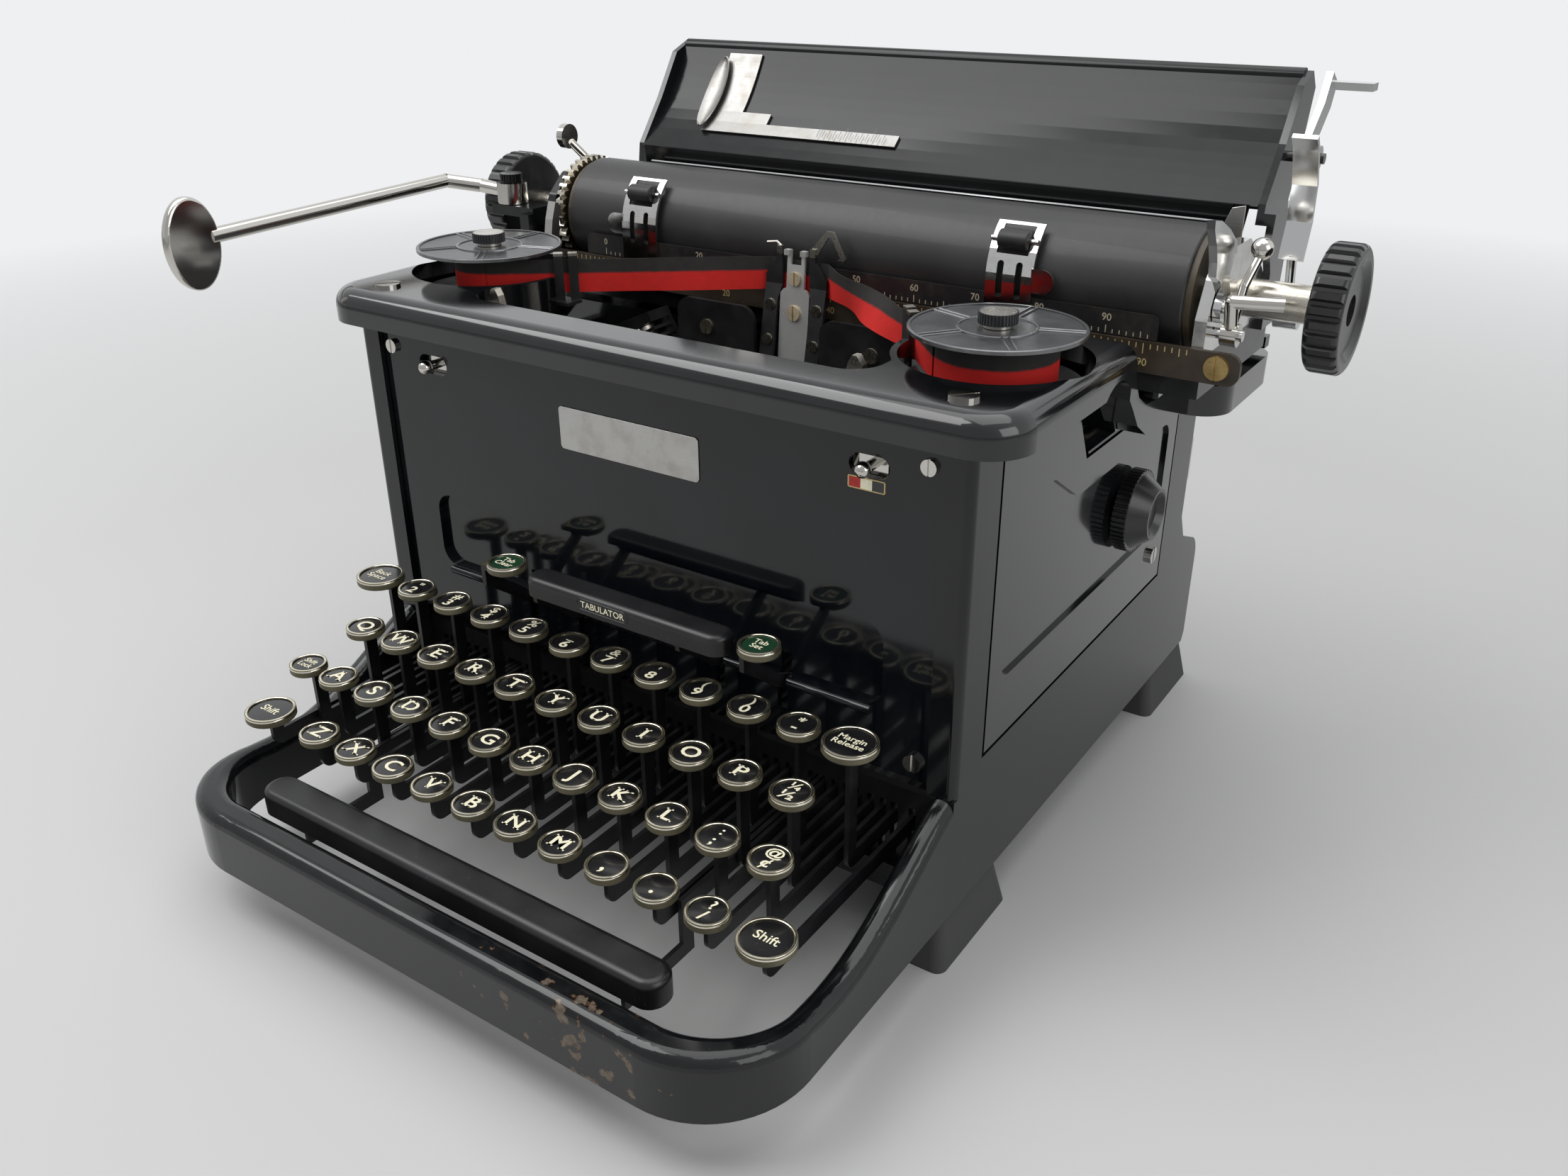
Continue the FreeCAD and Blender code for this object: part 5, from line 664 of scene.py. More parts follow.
    def finish(self, finishes: Finish | Sequence[Finish], body: str, slot: str, smooth: float = 35.0,
               bevel: float = 0.0) -> bpy.types.Object:
        """Makes the object.

        Args:
            finishes: Finish of each kind of face, in order.
            body: CAD body it rides on.
            slot: Not used.
            smooth: Edges flatter than this many degrees are shaded smooth.
            bevel: Width of a bevel on sharp edges, in millimetres.

        Returns:
            The object.
        """
        mesh = bpy.data.meshes.new(self.name)
        mesh.from_pydata([tuple(p * MM) for p in self.points], [], self.faces)
        for made in [finishes] if isinstance(finishes, Finish) else finishes:
            mesh.materials.append(made.material())
        for polygon, kind in zip(mesh.polygons, self.kinds):
            polygon.material_index = kind
        work = bmesh.new()
        work.from_mesh(mesh)
        bmesh.ops.recalc_face_normals(work, faces=work.faces)
        work.to_mesh(mesh)
        work.free()
        thing = bpy.data.objects.new(self.name, mesh)
        bpy.context.scene.collection.objects.link(thing)
        if bevel:
            made = thing.modifiers.new("edges", "BEVEL")
            made.width = bevel * MM
            made.segments = 2
            made.limit_method = "ANGLE"
        mesh.shade_smooth()
        mesh.set_sharp_from_angle(angle=math.radians(smooth))
        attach(thing, body)
        LOG.info("piece %s rides %s, %d faces", self.name, body, len(mesh.polygons))
        return thing


class Lettering:
    """Makes letters as thin meshes, with serifs where asked."""

    STRAIGHT = set("AEFHIKLMNPRTUVWXYZBD147")
    SERIF = 0.035
    LINE_SPACE = 0.85
    SMOOTHNESS = 3

    @classmethod
    def glyphs(cls, text: str, size: float, weight: float) -> bpy.types.Mesh:
        """Flat mesh of a text in the XY plane, centred, size in millimetres of line height."""
        curve = bpy.data.curves.new("lettering", "FONT")
        curve.body = text
        curve.size = size
        curve.align_x = "CENTER"
        curve.align_y = "CENTER"
        curve.offset = weight
        curve.space_line = cls.LINE_SPACE
        curve.resolution_u = cls.SMOOTHNESS
        holder = bpy.data.objects.new("lettering", curve)
        bpy.context.scene.collection.objects.link(holder)
        scene_now = bpy.context.evaluated_depsgraph_get()
        mesh = bpy.data.meshes.new_from_object(holder.evaluated_get(scene_now))
        bpy.data.objects.remove(holder)
        bpy.data.curves.remove(curve)
        return mesh

    @classmethod
    def write(cls, piece: Piece, text: str, size: float, place: Callable[[Vector], Point],
              weight: float = 0.0, serif: bool = False) -> None:
        """Adds a text to a piece.

        Args:
            piece: Mesh it goes into.
            text: What it says.
            size: Line height in millimetres.
            place: Gives the point for one of the flat mesh.
            weight: Extra thickness of the strokes in millimetres.
            serif: Whether straight strokes end in serifs.
        """
        mesh = cls.glyphs(text, size, weight)
        bars = cls.serifs(mesh, size) if serif and text in cls.STRAIGHT else []
        piece.absorb(mesh, place)
        for low, high, level in bars:
            half = size * cls.SERIF
            outline = rectangle((low, high), (level - half, level + half))
            piece.add([place(Vector((x, y, 0.0))) for x, y in outline], [(0, 1, 2, 3)])

    @classmethod
    def serifs(cls, mesh: bpy.types.Mesh, size: float) -> list[tuple[float, float, float]]:
        """Where a letter's strokes end at its top and bottom, as (left, right, height)."""
        bars = []
        top = max(v.co.y for v in mesh.vertices)
        base = min(v.co.y for v in mesh.vertices)
        for level, inward in ((base, 1.0), (top, -1.0)):
            places = sorted(v.co.x for v in mesh.vertices if abs(v.co.y - level) < size * 0.02)
            runs: list[list[float]] = []
            for x in places:
                if runs and x - runs[-1][1] < size * 0.2:
                    runs[-1][1] = x
                else:
                    runs.append([x, x])
            reach = size * 0.07
            bars += [(a - reach, b + reach, level + inward * size * cls.SERIF)
                     for a, b in runs if b - a < size * 0.3]
        return bars


# --------------------------------------------------------------------------- sub-assemblies
SPOOL_AT: Flat = (107.8, -65.5)


class Row(Enum):
    """A row of keys, as the height of its tops and their place from front to rear."""

    NUMBER = (93.0, -139.4)
    UPPER = (82.0, -157.7)
    HOME = (71.0, -176.0)
    BOTTOM = (60.0, -194.3)
    TAB = (113.5, -135.0)

    @property
    def top(self) -> float:
        """Height of the key tops."""
        return self.value[0]

    @property
    def y(self) -> float:
        """Middle of the key tops."""
        return self.value[1]


@dataclass(frozen=True)
class Key:
    """One key's top; its line height is that of its words, or 0 where it bears characters."""

    x: float
    row: Row
    radius: float
    text: str
    line: float = 0.0


@dataclass(frozen=True)
class Bank:
    """One bank of typing keys, and the number of the key in it that moves on its own."""

    row: Row
    first_x: float
    legends: list[str]
    apart: int | None = None

    @property
    def name(self) -> str:
        """The row's name in small letters."""
        return self.row.name.lower()

    @property
    def body(self) -> str:
        """CAD body that its keys ride on, but for the one apart."""
        return f"{self.name}_bank"


def ring_finish(top: float, depth: float) -> TwoTone:
    """Bright rolled rim over a dark olive-brown side: tarnish, darkened further as painted shade.

    Args:
        top: Height of the key's top.
        depth: Height of its ring.

    Returns:
        The finish.
    """
    # Below this height the side is painted dark: tarnish, and painted shade where the side turns from
    # the light.
    rim = top - 0.26 * depth
    return TwoTone(f"ring_{top:.0f}", (0.84, 0.8, 0.68), 0.16, metal=1.0, age=0.25,
                   tarnish=(0.42, 0.36, 0.24), dark=(0.075, 0.066, 0.038), dark_rough=0.4,
                   where=lambda g: g.position[2] > rim)


@dataclass
class Keyboard:
    """Rings, faces and legends of every key."""

    pitch: float = 19.05
    stagger: float = 4.7625
    left: float = -96.8
    radius: float = 6.9
    rim: float = 1.1
    depth: float = 3.0
    print_depth: float = 0.14
    shift_x: float = 109.7
    banks: list[Bank] = field(default_factory=list)

    def __post_init__(self) -> None:
        """Lays out the four banks."""
        rows = [(Row.NUMBER, 2, ["2\"", "3#", "4$", "5%", "6_", "7&", "8'", "9(", "0)", "-*"], None),
                (Row.UPPER, 0, [*"QWERTYUIOP", "½¼"], 5),
                (Row.HOME, 1, [*"ASDFGHJKL", ";:", "¢@"], None),
                (Row.BOTTOM, 3, [*"ZXCVBNM", ",", ".", "/?"], None)]
        for row, staggers, legends, apart in rows:
            self.banks.append(Bank(row, self.left + staggers * self.stagger, legends, apart))

    def ring(self, piece: Piece, key: Key) -> None:
        """Adds a key's rounded metal ring."""
        inner = key.radius - self.rim - 0.05
        outer = key.radius + 0.1
        profile = [(inner, -0.6), (inner + 0.12, -0.08), (inner + 0.4, 0.12),
                   (outer - 0.4, 0.08), (outer - 0.08, -0.3), (outer, -0.8),
                   (outer, 0.4 - self.depth), (outer - 0.3, -0.02 - self.depth),
                   (inner, -0.04 - self.depth)]
        piece.turned(profile, (key.x, key.row.y, key.row.top), steps=40, closed=True)

    def face(self, piece: Piece, key: Key) -> None:
        """Adds a key's slightly domed face."""
        reach = key.radius - self.rim - 0.1
        profile = [(0.0, -0.2), (reach * 0.6, -0.26), (reach, -0.42), (reach, -0.58), (0.0, -0.58)]
        piece.turned(profile, (key.x, key.row.y, key.row.top), steps=32)

    def stamp(self, piece: Piece, key: Key, text: str, size: float, weight: float,
              wide: float = 1.0, up: float = 0.0, serif: bool = False) -> None:
        """Adds characters to a key's face.

        Args:
            piece: Mesh they go into.
            key: The key.
            text: What they say.
            size: Line height.
            weight: Extra thickness of the strokes.
            wide: Factor on their width.
            up: Shift away from the typist.
            serif: Whether straight strokes end in serifs.
        """
        level = key.row.top - self.print_depth
        Lettering.write(piece, text, size,
                        lambda p: (key.x + p.x * wide, key.row.y + up + p.y, level), weight, serif)

    def legend(self, piece: Piece, key: Key) -> None:
        """Adds a key's words, its letter, its sign or its two characters."""
        if key.line:
            self.stamp(piece, key, key.text, key.line, 0.05)
        elif len(key.text) > 1:
            low, high = key.text
            raised = 1.4 if high in "\"'*" else 2.7
            self.stamp(piece, key, low, 5.9, 0.12, wide=1.2, up=-2.3, serif=low.isdigit())
            self.stamp(piece, key, high, 5.3, 0.1, wide=1.15, up=raised)
        elif key.text.isalpha():
            self.stamp(piece, key, key.text, 7.9, 0.15, wide=1.12, serif=True)
        else:
            self.stamp(piece, key, key.text, 9.5, 0.12)

    def build(self) -> None:
        """Makes the banks and the control keys."""
        for bank in self.banks:
            groups: dict[str, list[Key]] = {bank.body: [], "typing_key": []}
            for index, text in enumerate(bank.legends):
                key = Key(bank.first_x + index * self.pitch, bank.row, self.radius, text)
                groups["typing_key" if index == bank.apart else bank.body].append(key)
            for body, keys in groups.items():
                if keys:
                    self.make(f"{bank.name}_{body}", body, keys)
        controls = {
            "shift": [Key(side * self.shift_x, Row.BOTTOM, 8.9, "Shift", 4.8) for side in (-1.0, 1.0)],
            "shift_lock": [Key(-109.0, Row.HOME, 6.7, "Shift\nLock", 3.4)],
            "backspace": [Key(-107.4, Row.NUMBER, 8.8, "Back\nSpace", 3.9)],
            "margin_release": [Key(102.9, Row.NUMBER, 8.9, "Margin\nRelease", 3.7)],
            "tab_clear": [Key(-42.4, Row.TAB, self.radius, "Tab\nClear", 3.5)],
            "tab_set": [Key(66.4, Row.TAB, self.radius, "Tab\nSet", 3.5)]}
        for body, keys in controls.items():
            self.make(f"{body}_top", body, keys, FACE_GREEN if keys[0].row is Row.TAB else FACE_BLACK)

    def make(self, name: str, body: str, keys: Sequence[Key], face: Finish = FACE_BLACK) -> None:
        """Makes the rings, faces and legends that ride one body."""
        rings = Piece(f"{name}_rings")
        faces = Piece(f"{name}_faces")
        for key in keys:
            self.ring(rings, key)
            self.face(faces, key)
        faces.kind = 1
        for key in keys:
            self.legend(faces, key)
        rings.finish(ring_finish(keys[0].row.top, self.depth), body, "key_ring")
        faces.finish([face, CREAM_INK], body, "key_ring")


@dataclass
class Spools:
    """Ribs and rings of the spools' top flanges."""

    at: Flat = SPOOL_AT
    top: float = 204.3
    radius: float = 27.5
    hub: float = 12.3
    ribs: int = 5
    first: float = 18.0
    half_gap: float = 1.1

    def build(self) -> None:
        """Makes both spools' relief."""
        rim = [(self.radius - 1.0, -0.4), (self.radius - 1.0, 0.35), (self.radius - 0.3, 0.5),
               (self.radius + 0.15, 0.2), (self.radius + 0.15, -0.9), (self.radius - 0.4, -1.0)]
        collar = [(self.hub - 0.6, -0.2), (self.hub - 0.5, 0.3), (self.hub, 0.5),
                  (self.hub + 0.5, 0.3), (self.hub + 0.6, -0.2)]
        for side in Side:
            piece = Piece(f"spool_ribs_{side.name.lower()}")
            centre = (side.value * self.at[0], self.at[1], self.top)
            piece.turned(rim, centre, steps=72, closed=True)
            piece.turned(collar, centre, steps=48, closed=True)
            for index in range(self.ribs):
                angle = math.radians(self.first + 360.0 / self.ribs * index)
                way = Vector((math.cos(angle), math.sin(angle), 0.0))
                across = Vector((-way.y, way.x, 0.0))
                for shift in (-self.half_gap, self.half_gap):
                    start = Vector(centre) + way * (self.hub + 0.3) + across * shift
                    end = Vector(centre) + way * (self.radius - 0.9) + across * shift
                    path = [tuple(start), tuple(start + way * 0.8), tuple(end - way * 0.8), tuple(end)]
                    piece.tube(path, 0.55, 8, 0.8)
            piece.finish(SPOOL_METAL, f"{side.name.lower()}_spool", "dark_steel", smooth=50.0)


@dataclass
class RibbonRun:
    """The free ribbon, from pack to pack through the carrier."""

    spool: Flat = SPOOL_AT
    packs: Flat = (14.4, 19.9)  # radii, left and right
    post: Flat = (72.0, -56.2)
    carrier: Flat = (13.0, -11.8)
    low: float = 188.9
    high: float = 201.4
    thickness: float = 0.16
    step: float = 2.5
    levels: int = 6
    twists: tuple[float, ...] = (0.0, 5.0, 0.0, 24.0, 0.0)  # degrees, one for each leg of the run

    def leave(self, side: Side) -> Flat:
        """Where the ribbon leaves the front of a pack."""
        radius = self.packs[0 if side is Side.LEFT else 1]
        dx, dy = self.post[0] - self.spool[0], self.post[1] - self.spool[1]
        rise = math.atan2(dy, -dx) + math.asin(radius / math.hypot(dx, dy))
        return (side.value * (self.spool[0] - radius * math.sin(rise)),
                self.spool[1] - radius * math.cos(rise))

    def rows(self) -> list[list[Point]]:
        """Stations along the run, each with points up the ribbon."""
        right = [self.carrier, self.post, self.leave(Side.RIGHT)]
        left = [self.leave(Side.LEFT), (-self.post[0], self.post[1]),
                (-self.carrier[0], self.carrier[1])]
        chain = left + right
        middle = (self.low + self.high) / 2.0
        rows: list[list[Point]] = []
        for start, end, twist in zip(chain, chain[1:], self.twists):
            way = Vector((end[0] - start[0], end[1] - start[1]))
            count = max(2, round(way.length / self.step))
            unit = way.normalized()
            for index in range(count):
                share = index / count
                swell = math.sin(math.pi * share)
                lean = math.radians(twist) * swell * math.sin(2.0 * math.pi * share + 0.6)
                row = []
                for level in range(self.levels + 1):
                    up = (level / self.levels - 0.5) * (self.high - self.low)
                    out = up * math.sin(lean)
                    row.append((start[0] + way.x * share + unit.y * out,
                                start[1] + way.y * share - unit.x * out, middle + up * math.cos(lean)))
                rows.append(row)
        rows.append([(*chain[-1], self.low + (self.high - self.low) * level / self.levels)
                     for level in range(self.levels + 1)])
        return rows

    def build(self) -> None:
        """Makes the ribbon as one stretched sheet."""
        rows = self.rows()
        piece = Piece("ribbon_run")
        piece.sheet(rows, self.thickness)
        made = piece.finish(RIBBON, "frame", "ribbon", smooth=60.0)
        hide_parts("ribbon_span")


@dataclass
class PaperPath:
    """Plates behind the platen, and the leaf and marks of the side guide on the paper table."""

    deflector: Flat = (-112.0, 140.0)
    edge: Flat = (39.9, 221.8)  # Y and Z of the deflector's top edge
    foot: float = 206.0
    wing: tuple[Flat, ...] = (
        (141.5, 206.0), (148.0, 206.0), (148.0, 228.0), (143.5, 227.0), (141.5, 222.0))
    lip_y: float = 44.7
    lip: tuple[Flat, ...] = ((-118.0, 213.0), (146.0, 213.0), (148.0, 227.6), (-120.0, 227.6))
    table_foot: Flat = (45.4, 226.6)
    table_head: Flat = (80.0, 268.0)
    table_out: Flat = (-0.76, 0.65)  # way out of its face
    bulge: float = 3.5
    leaf_x: float = -94.2
    leaf_half: float = 4.1
    leaf_share: Flat = (0.53, 0.31)  # middle and half length, as shares of the way up the table
    leaf_out: Flat = (2.6, 1.6)  # at its middle line, and how much more at its edges
    leaf_steps: int = 12
    rule: Flat = (-34.0, 2.6)  # first mark and the space between two
    rule_foot: float = 0.215
    rule_tall: Flat = (0.11, 0.07)  # every fifth mark, and the others
    rule_half: float = 0.12
    rule_out: float = 2.72
    rule_marks: int = 13

    def table(self, across: float, share: float, out: float) -> Point:
        """Point over the paper table, share of the way up it and out from its face."""
        (y0, z0), (y1, z1) = self.table_foot, self.table_head
        rise = out - self.bulge * math.sin(math.pi * share)
        return (across, y0 + share * (y1 - y0) + self.table_out[0] * rise,
                z0 + share * (z1 - z0) + self.table_out[1] * rise)

    def build(self) -> None:
        """Makes the deflector, its wing, the lip below the table and the guide's fine parts."""
        y, top = self.edge
        left, right = self.deflector
        plate = Piece("paper_deflector")
        plate.slab(rectangle(self.deflector, (self.foot, top)), lambda x, z, out: (x, y + out, z), 0.5)
        plate.kind = 1
        plate.tube([(left, y + 0.2, top), (right, y + 0.2, top)], 0.45, 8)
        plate.finish([BLACK_STEEL, CHROME], "carriage", "dark_steel")
        lip = Piece("table_lip")
        lip.slab(self.lip, lambda x, z, out: (x, self.lip_y + out, z), 0.6)
        lip.finish(ENAMEL_TABLE, "carriage", "enamel", bevel=0.15)
        wing = Piece("deflector_leaf")
        wing.slab(self.wing, lambda x, z, out: (x, y + out, z), 0.6)
        wing.finish(STEEL, "carriage", "steel", bevel=0.15)
        self.guide_leaf()
        self.guide_marks()

    def guide_leaf(self) -> None:
        """Makes the folded leaf beside the guide's plate."""
        leaf = Piece("guide_leaf")
        rows = []
        for index in range(self.leaf_steps + 1):
            turn = math.pi * index / self.leaf_steps
            share = self.leaf_share[0] - self.leaf_share[1] * math.cos(turn)
            half = self.leaf_half * math.sin(turn) + 0.25
            rows.append([self.table(self.leaf_x + half * side, share,
                                    self.leaf_out[0] + self.leaf_out[1] * abs(side))
                         for side in (-1.0, -0.4, 0.4, 1.0)])
        leaf.sheet(rows, 0.6)
        leaf.finish(GUIDE_STEEL_PAINTED_SHADE, "side_guide", "steel", smooth=50.0)

    def guide_marks(self) -> None:
        """Makes the marks on the guide's rule, every fifth one longer."""
        marks = Piece("guide_marks")
        for index in range(self.rule_marks):
            x = self.rule[0] + index * self.rule[1]
            tall = self.rule_tall[1 if index % 5 else 0]
            marks.slab(rectangle((x - self.rule_half, x + self.rule_half),
                                 (self.rule_foot, self.rule_foot + tall)),
                       lambda a, share, out: self.table(a, share, self.rule_out + out), 0.05)
        marks.finish(FACE_BLACK, "side_guide", "steel")


@dataclass(frozen=True)
class Ruler:
    """Marks and figures of one of the carriage's scales."""

    name: str
    ink: Finish
    slot: str
    zero_x: float
    indices: tuple[int, int]
    ends: Flat
    front: float
    base: float
    heights: Point  # of every tenth mark, every fifth one and the others; negative where they hang
    half: float
    figures: float
    size: float
    unit: float = 2.434

    def build(self) -> None:
        """Makes the marks, in three heights, and a figure at every tenth one."""
        piece = Piece(self.name)
        for index in range(*self.indices):
            x = self.zero_x + index * self.unit
            if not self.ends[0] < x < self.ends[1]:
                continue
            height = self.heights[2 if index % 5 else 1 if index % 10 else 0]
            low, high = sorted((self.base, self.base + height))
            piece.block((x - self.half, self.front - 0.05, low),
                        (x + self.half, self.front + 0.05, high))
        for index in range(0, 100, 10):
            x = self.zero_x + index * self.unit
            Lettering.write(piece, str(index), self.size,
                            lambda p, x=x: (x + p.x, self.front - 0.04, self.figures + p.y), 0.03)
        piece.finish(self.ink, "carriage", self.slot)


PAPER_RULER = Ruler("paper_scale_marks", WHITE_INK, "dark_steel", zero_x=-97.8, indices=(0, 98),
                    ends=(-128.0, 137.5), front=-9.6, base=191.7, heights=(2.6, 2.0, 1.3),
                    half=0.16, figures=196.8, size=3.5)
MARGIN_RULER = Ruler("margin_scale_marks", GOLD_INK, "bronze", zero_x=-83.8, indices=(-12, 106),
                     ends=(-128.0, 151.0), front=-11.0, base=190.4, heights=(-3.4, -2.6, -1.7),
                     half=0.17, figures=184.0, size=3.6)


@dataclass
class FrontTrim:
    """Plain plate and small indicator on the front panel, and the tabulator bar's rim and word."""

    face: float = -114.1
    plate: tuple[Flat, Flat] = ((-31.0, 29.0), (152.0, 167.5))
    indicator: tuple[Flat, Flat] = ((85.0, 98.0), (163.5, 167.5))
    indicator_out: float = 0.12
    swatch: Flat = (85.5, 89.5)  # the first of the colours
    swatch_heights: Flat = (163.9, 167.1)
    bar: Point = (6.5, -140.5, 110.2)  # middle of the tabulator bar's face
    bar_halves: Flat = (11.1, 2.0)

    @staticmethod
    def rounded(x: Flat, z: Flat, radius: float) -> list[Flat]:
        """Corners of a rectangle with rounded corners."""
        points = []
        for cx, cz, start in ((x[1] - radius, z[1] - radius, 0), (x[0] + radius, z[1] - radius, 90),
                              (x[0] + radius, z[0] + radius, 180), (x[1] - radius, z[0] + radius, 270)):
            for step in range(5):
                angle = math.radians(start + 22.5 * step)
                points.append((cx + radius * math.cos(angle), cz + radius * math.sin(angle)))
        return points

    def front(self, across: float, up: float, out: float) -> Point:
        """Point on the front panel's face."""
        return across, self.face - out, up

    def build(self) -> None:
        """Makes the plate, the indicator and the bar's rim and word."""
        plate = Piece("front_plate")
        plate.slab(self.rounded(*self.plate, 1.5), self.front, 0.5)
        plate.finish(STEEL, "frame", "steel", bevel=0.15)
        edge = Piece("indicator_frame")
        edge.slab(self.rounded(*self.indicator, 0.6), self.front, self.indicator_out)
        edge.finish(GOLD_INK, "frame", "bronze")
        inner = Piece("indicator_colours")
        inks = [RED_INK, CREAM_INK, FACE_BLACK]
        left, right = self.swatch
        for kind in range(len(inks)):
            inner.kind = kind
            shift = (right - left) * kind
            inner.slab(rectangle((left + shift, right + shift), self.swatch_heights),
                       lambda x, z, out: self.front(x, z, self.indicator_out + out), 0.06)
        inner.finish(inks, "frame", "enamel")
        self.tabulator()

    def tabulator(self) -> None:
        """Makes the word on the tabulator bar and the rim round it."""
        x, y, z = self.bar
        wide, tall = self.bar_halves
        label = Piece("tabulator_word")
        Lettering.write(label, "TABULATOR", 3.3, lambda p: (x + p.x, y - 0.1, z + p.y), 0.04)
        label.finish(CREAM_INK, "tabulator", "black_plastic")
        rim = Piece("tabulator_rim")
        outline = self.rounded((x - wide, x + wide), (z - tall, z + tall), 1.9)
        rim.tube([(a, y, b) for a, b in [*outline, outline[0]]], 0.16, 6)
        rim.finish(MOULDING, "tabulator", "black_plastic")


@dataclass(frozen=True)
class Spot:
    """A round place, looked at along the direction that a None leaves out."""

    place: tuple[float | None, float | None, float | None]
    radius: float

    def mask(self, graph: Graph) -> Shade:
        """1 on the spot."""
        return graph.near(self.place, self.radius)


def pair(x: float, z: float, radius: float) -> tuple[Spot, Spot]:
    """Two spots seen from the front, one at each side of the middle."""
    return Spot((-x, None, z), radius), Spot((x, None, z), radius)


@dataclass
class Castings:
    """Finishes of the CAD nodes that show as they are."""

    finishes: dict[str, Finish] = field(default_factory=dict)
    smooth: float = 32.0
    guide_screws: tuple[Spot, ...] = (Spot((0.0, None, 194.8), 2.75), Spot((0.0, None, 182.0), 3.05))
    scale_screws: tuple[Spot, ...] = (Spot((-130.5, None, 186.0), 4.1), Spot((160.0, None, 186.0), 4.1))
    vibrator_screws: tuple[Spot, ...] = (*pair(10.4, 184.3, 2.1), *pair(10.4, 171.3, 2.1))
    vibrator_loop: float = 203.5  # height where the bright wire starts
    segment_screws: tuple[Spot, ...] = pair(37.5, 172.6, 3.0)
    platen_ends: tuple[Flat, Flat] = ((-121.0, -118.0), (145.3, 148.0))
    end_plate: Flat = (149.5, 188.0)  # the bright end plate lies to the right of this X, above this Z
    nut: Flat = (5.6, 204.5)  # radius, and height where a spool's nut starts
    roller: Spot = Spot((None, -7.5, 217.8), 3.7)
    roller_half: float = 5.6

    def __post_init__(self) -> None:
        """Lists each node's finish."""
        self.keys()
        self.single()
        self.carriage()
        self.printing()

    def keys(self) -> None:
        """Key levers and buttons, dark up to the foot of the ring."""
        rows = {Row.NUMBER: "number_row_keys backspace_key margin_release_key",
                Row.UPPER: "upper_row_keys letter_key",
                Row.HOME: "home_row_keys shift_lock_key",
                Row.BOTTOM: "bottom_row_keys shift_keys",
                Row.TAB: "tab_clear_key tab_set_key"}
        for row, names in rows.items():
            for node in names.split():
                self.finishes[node] = TwoTone(
                    f"stem_and_ring_{row.top:.0f}", (0.2, 0.18, 0.11), 0.4, metal=1.0,
                    dark=(0.006, 0.006, 0.007), dark_rough=0.24,
                    where=lambda g, foot=row.top - 3.04: g.position[2] > foot)

    def single(self) -> None:
        """Nodes with one finish all over."""
        groups: dict[Finish, str] = {
            ENAMEL: "side_panels top_cover carriage_bed table_brackets",
            ENAMEL_LOOP: "main_frame",
            ENAMEL_SHEET: "front_panel rear_cover",
            ENAMEL_TABLE: "paper_table",
            NICKEL: "return_lever margin_stop_left margin_stop_right detent_lever carriage_release_left "
                    "bell touch_stud color_selector frame_hardware",
            CHROME: "carriage_release_right paper_release table_arm",
            GUIDE_STEEL_PAINTED_SHADE: "paper_guide",
            STEEL: "line_space_pawl escapement_wheel",
            POST_STEEL: "ribbon_guides",
            TYPE_STEEL_PAINTED_LIGHT: "type_bars active_type_bar",
            BLACK_STEEL: "key_rack mainspring_drum",
            MOULDING: "space_bar tabulator_bar",
            KNOB_MOULDING: "platen_knobs side_knob feed_rollers",
            FOOT_RUBBER: "rubber_feet",
            PLATEN_RUBBER: "platen_rubber",
            RIBBON: "ribbon_left ribbon_right",
            SCALE_BLACK: "paper_scale"}
        for finish, names in groups.items():
            for node in names.split():
                self.finishes[node] = finish

    def carriage(self) -> None:
        """Carriage parts with screws, rings, rollers or an end of another finish."""
        self.finishes["margin_scale"] = TwoTone(
            "bronze_and_brass", (0.5, 0.36, 0.15), 0.3, metal=1.0, age=0.6, tarnish=(0.13, 0.08, 0.035),
            dark=(0.03, 0.022, 0.014), dark_rough=0.36,
            where=lambda g: self.any_of(spot.mask(g) for spot in self.scale_screws))
        self.finishes["platen_core"] = TwoTone(
            "core_metal", (0.62, 0.59, 0.52), 0.2, metal=1.0, dark=(0.05, 0.038, 0.022), dark_rough=0.35,
            where=lambda g: 1.0 - self.any_of(g.band(Axis.X, *ends) for ends in self.platen_ends))
        self.finishes["carriage_frame"] = TwoTone(
            "frame_and_end_plate", (0.76, 0.76, 0.75), 0.12, metal=1.0, age=0.3,
            dark=(0.004, 0.0045, 0.005), dark_rough=0.12,
            where=lambda g: (g.position[0] > self.end_plate[0]) * (g.position[2] > self.end_plate[1]))
        half = self.roller_half
        for middle, node in ((-78.5, "paper_finger_left"), (85.4, "paper_finger_right")):
            self.finishes[node] = TwoTone(
                f"{node}_metal", (0.76, 0.76, 0.75), 0.1, metal=1.0, age=0.25,
                dark=(0.012, 0.012, 0.012), dark_rough=0.4,
                where=lambda g, x=middle: 1.0 - (self.roller.mask(g)
                                                 * g.band(Axis.X, x - half, x + half)))

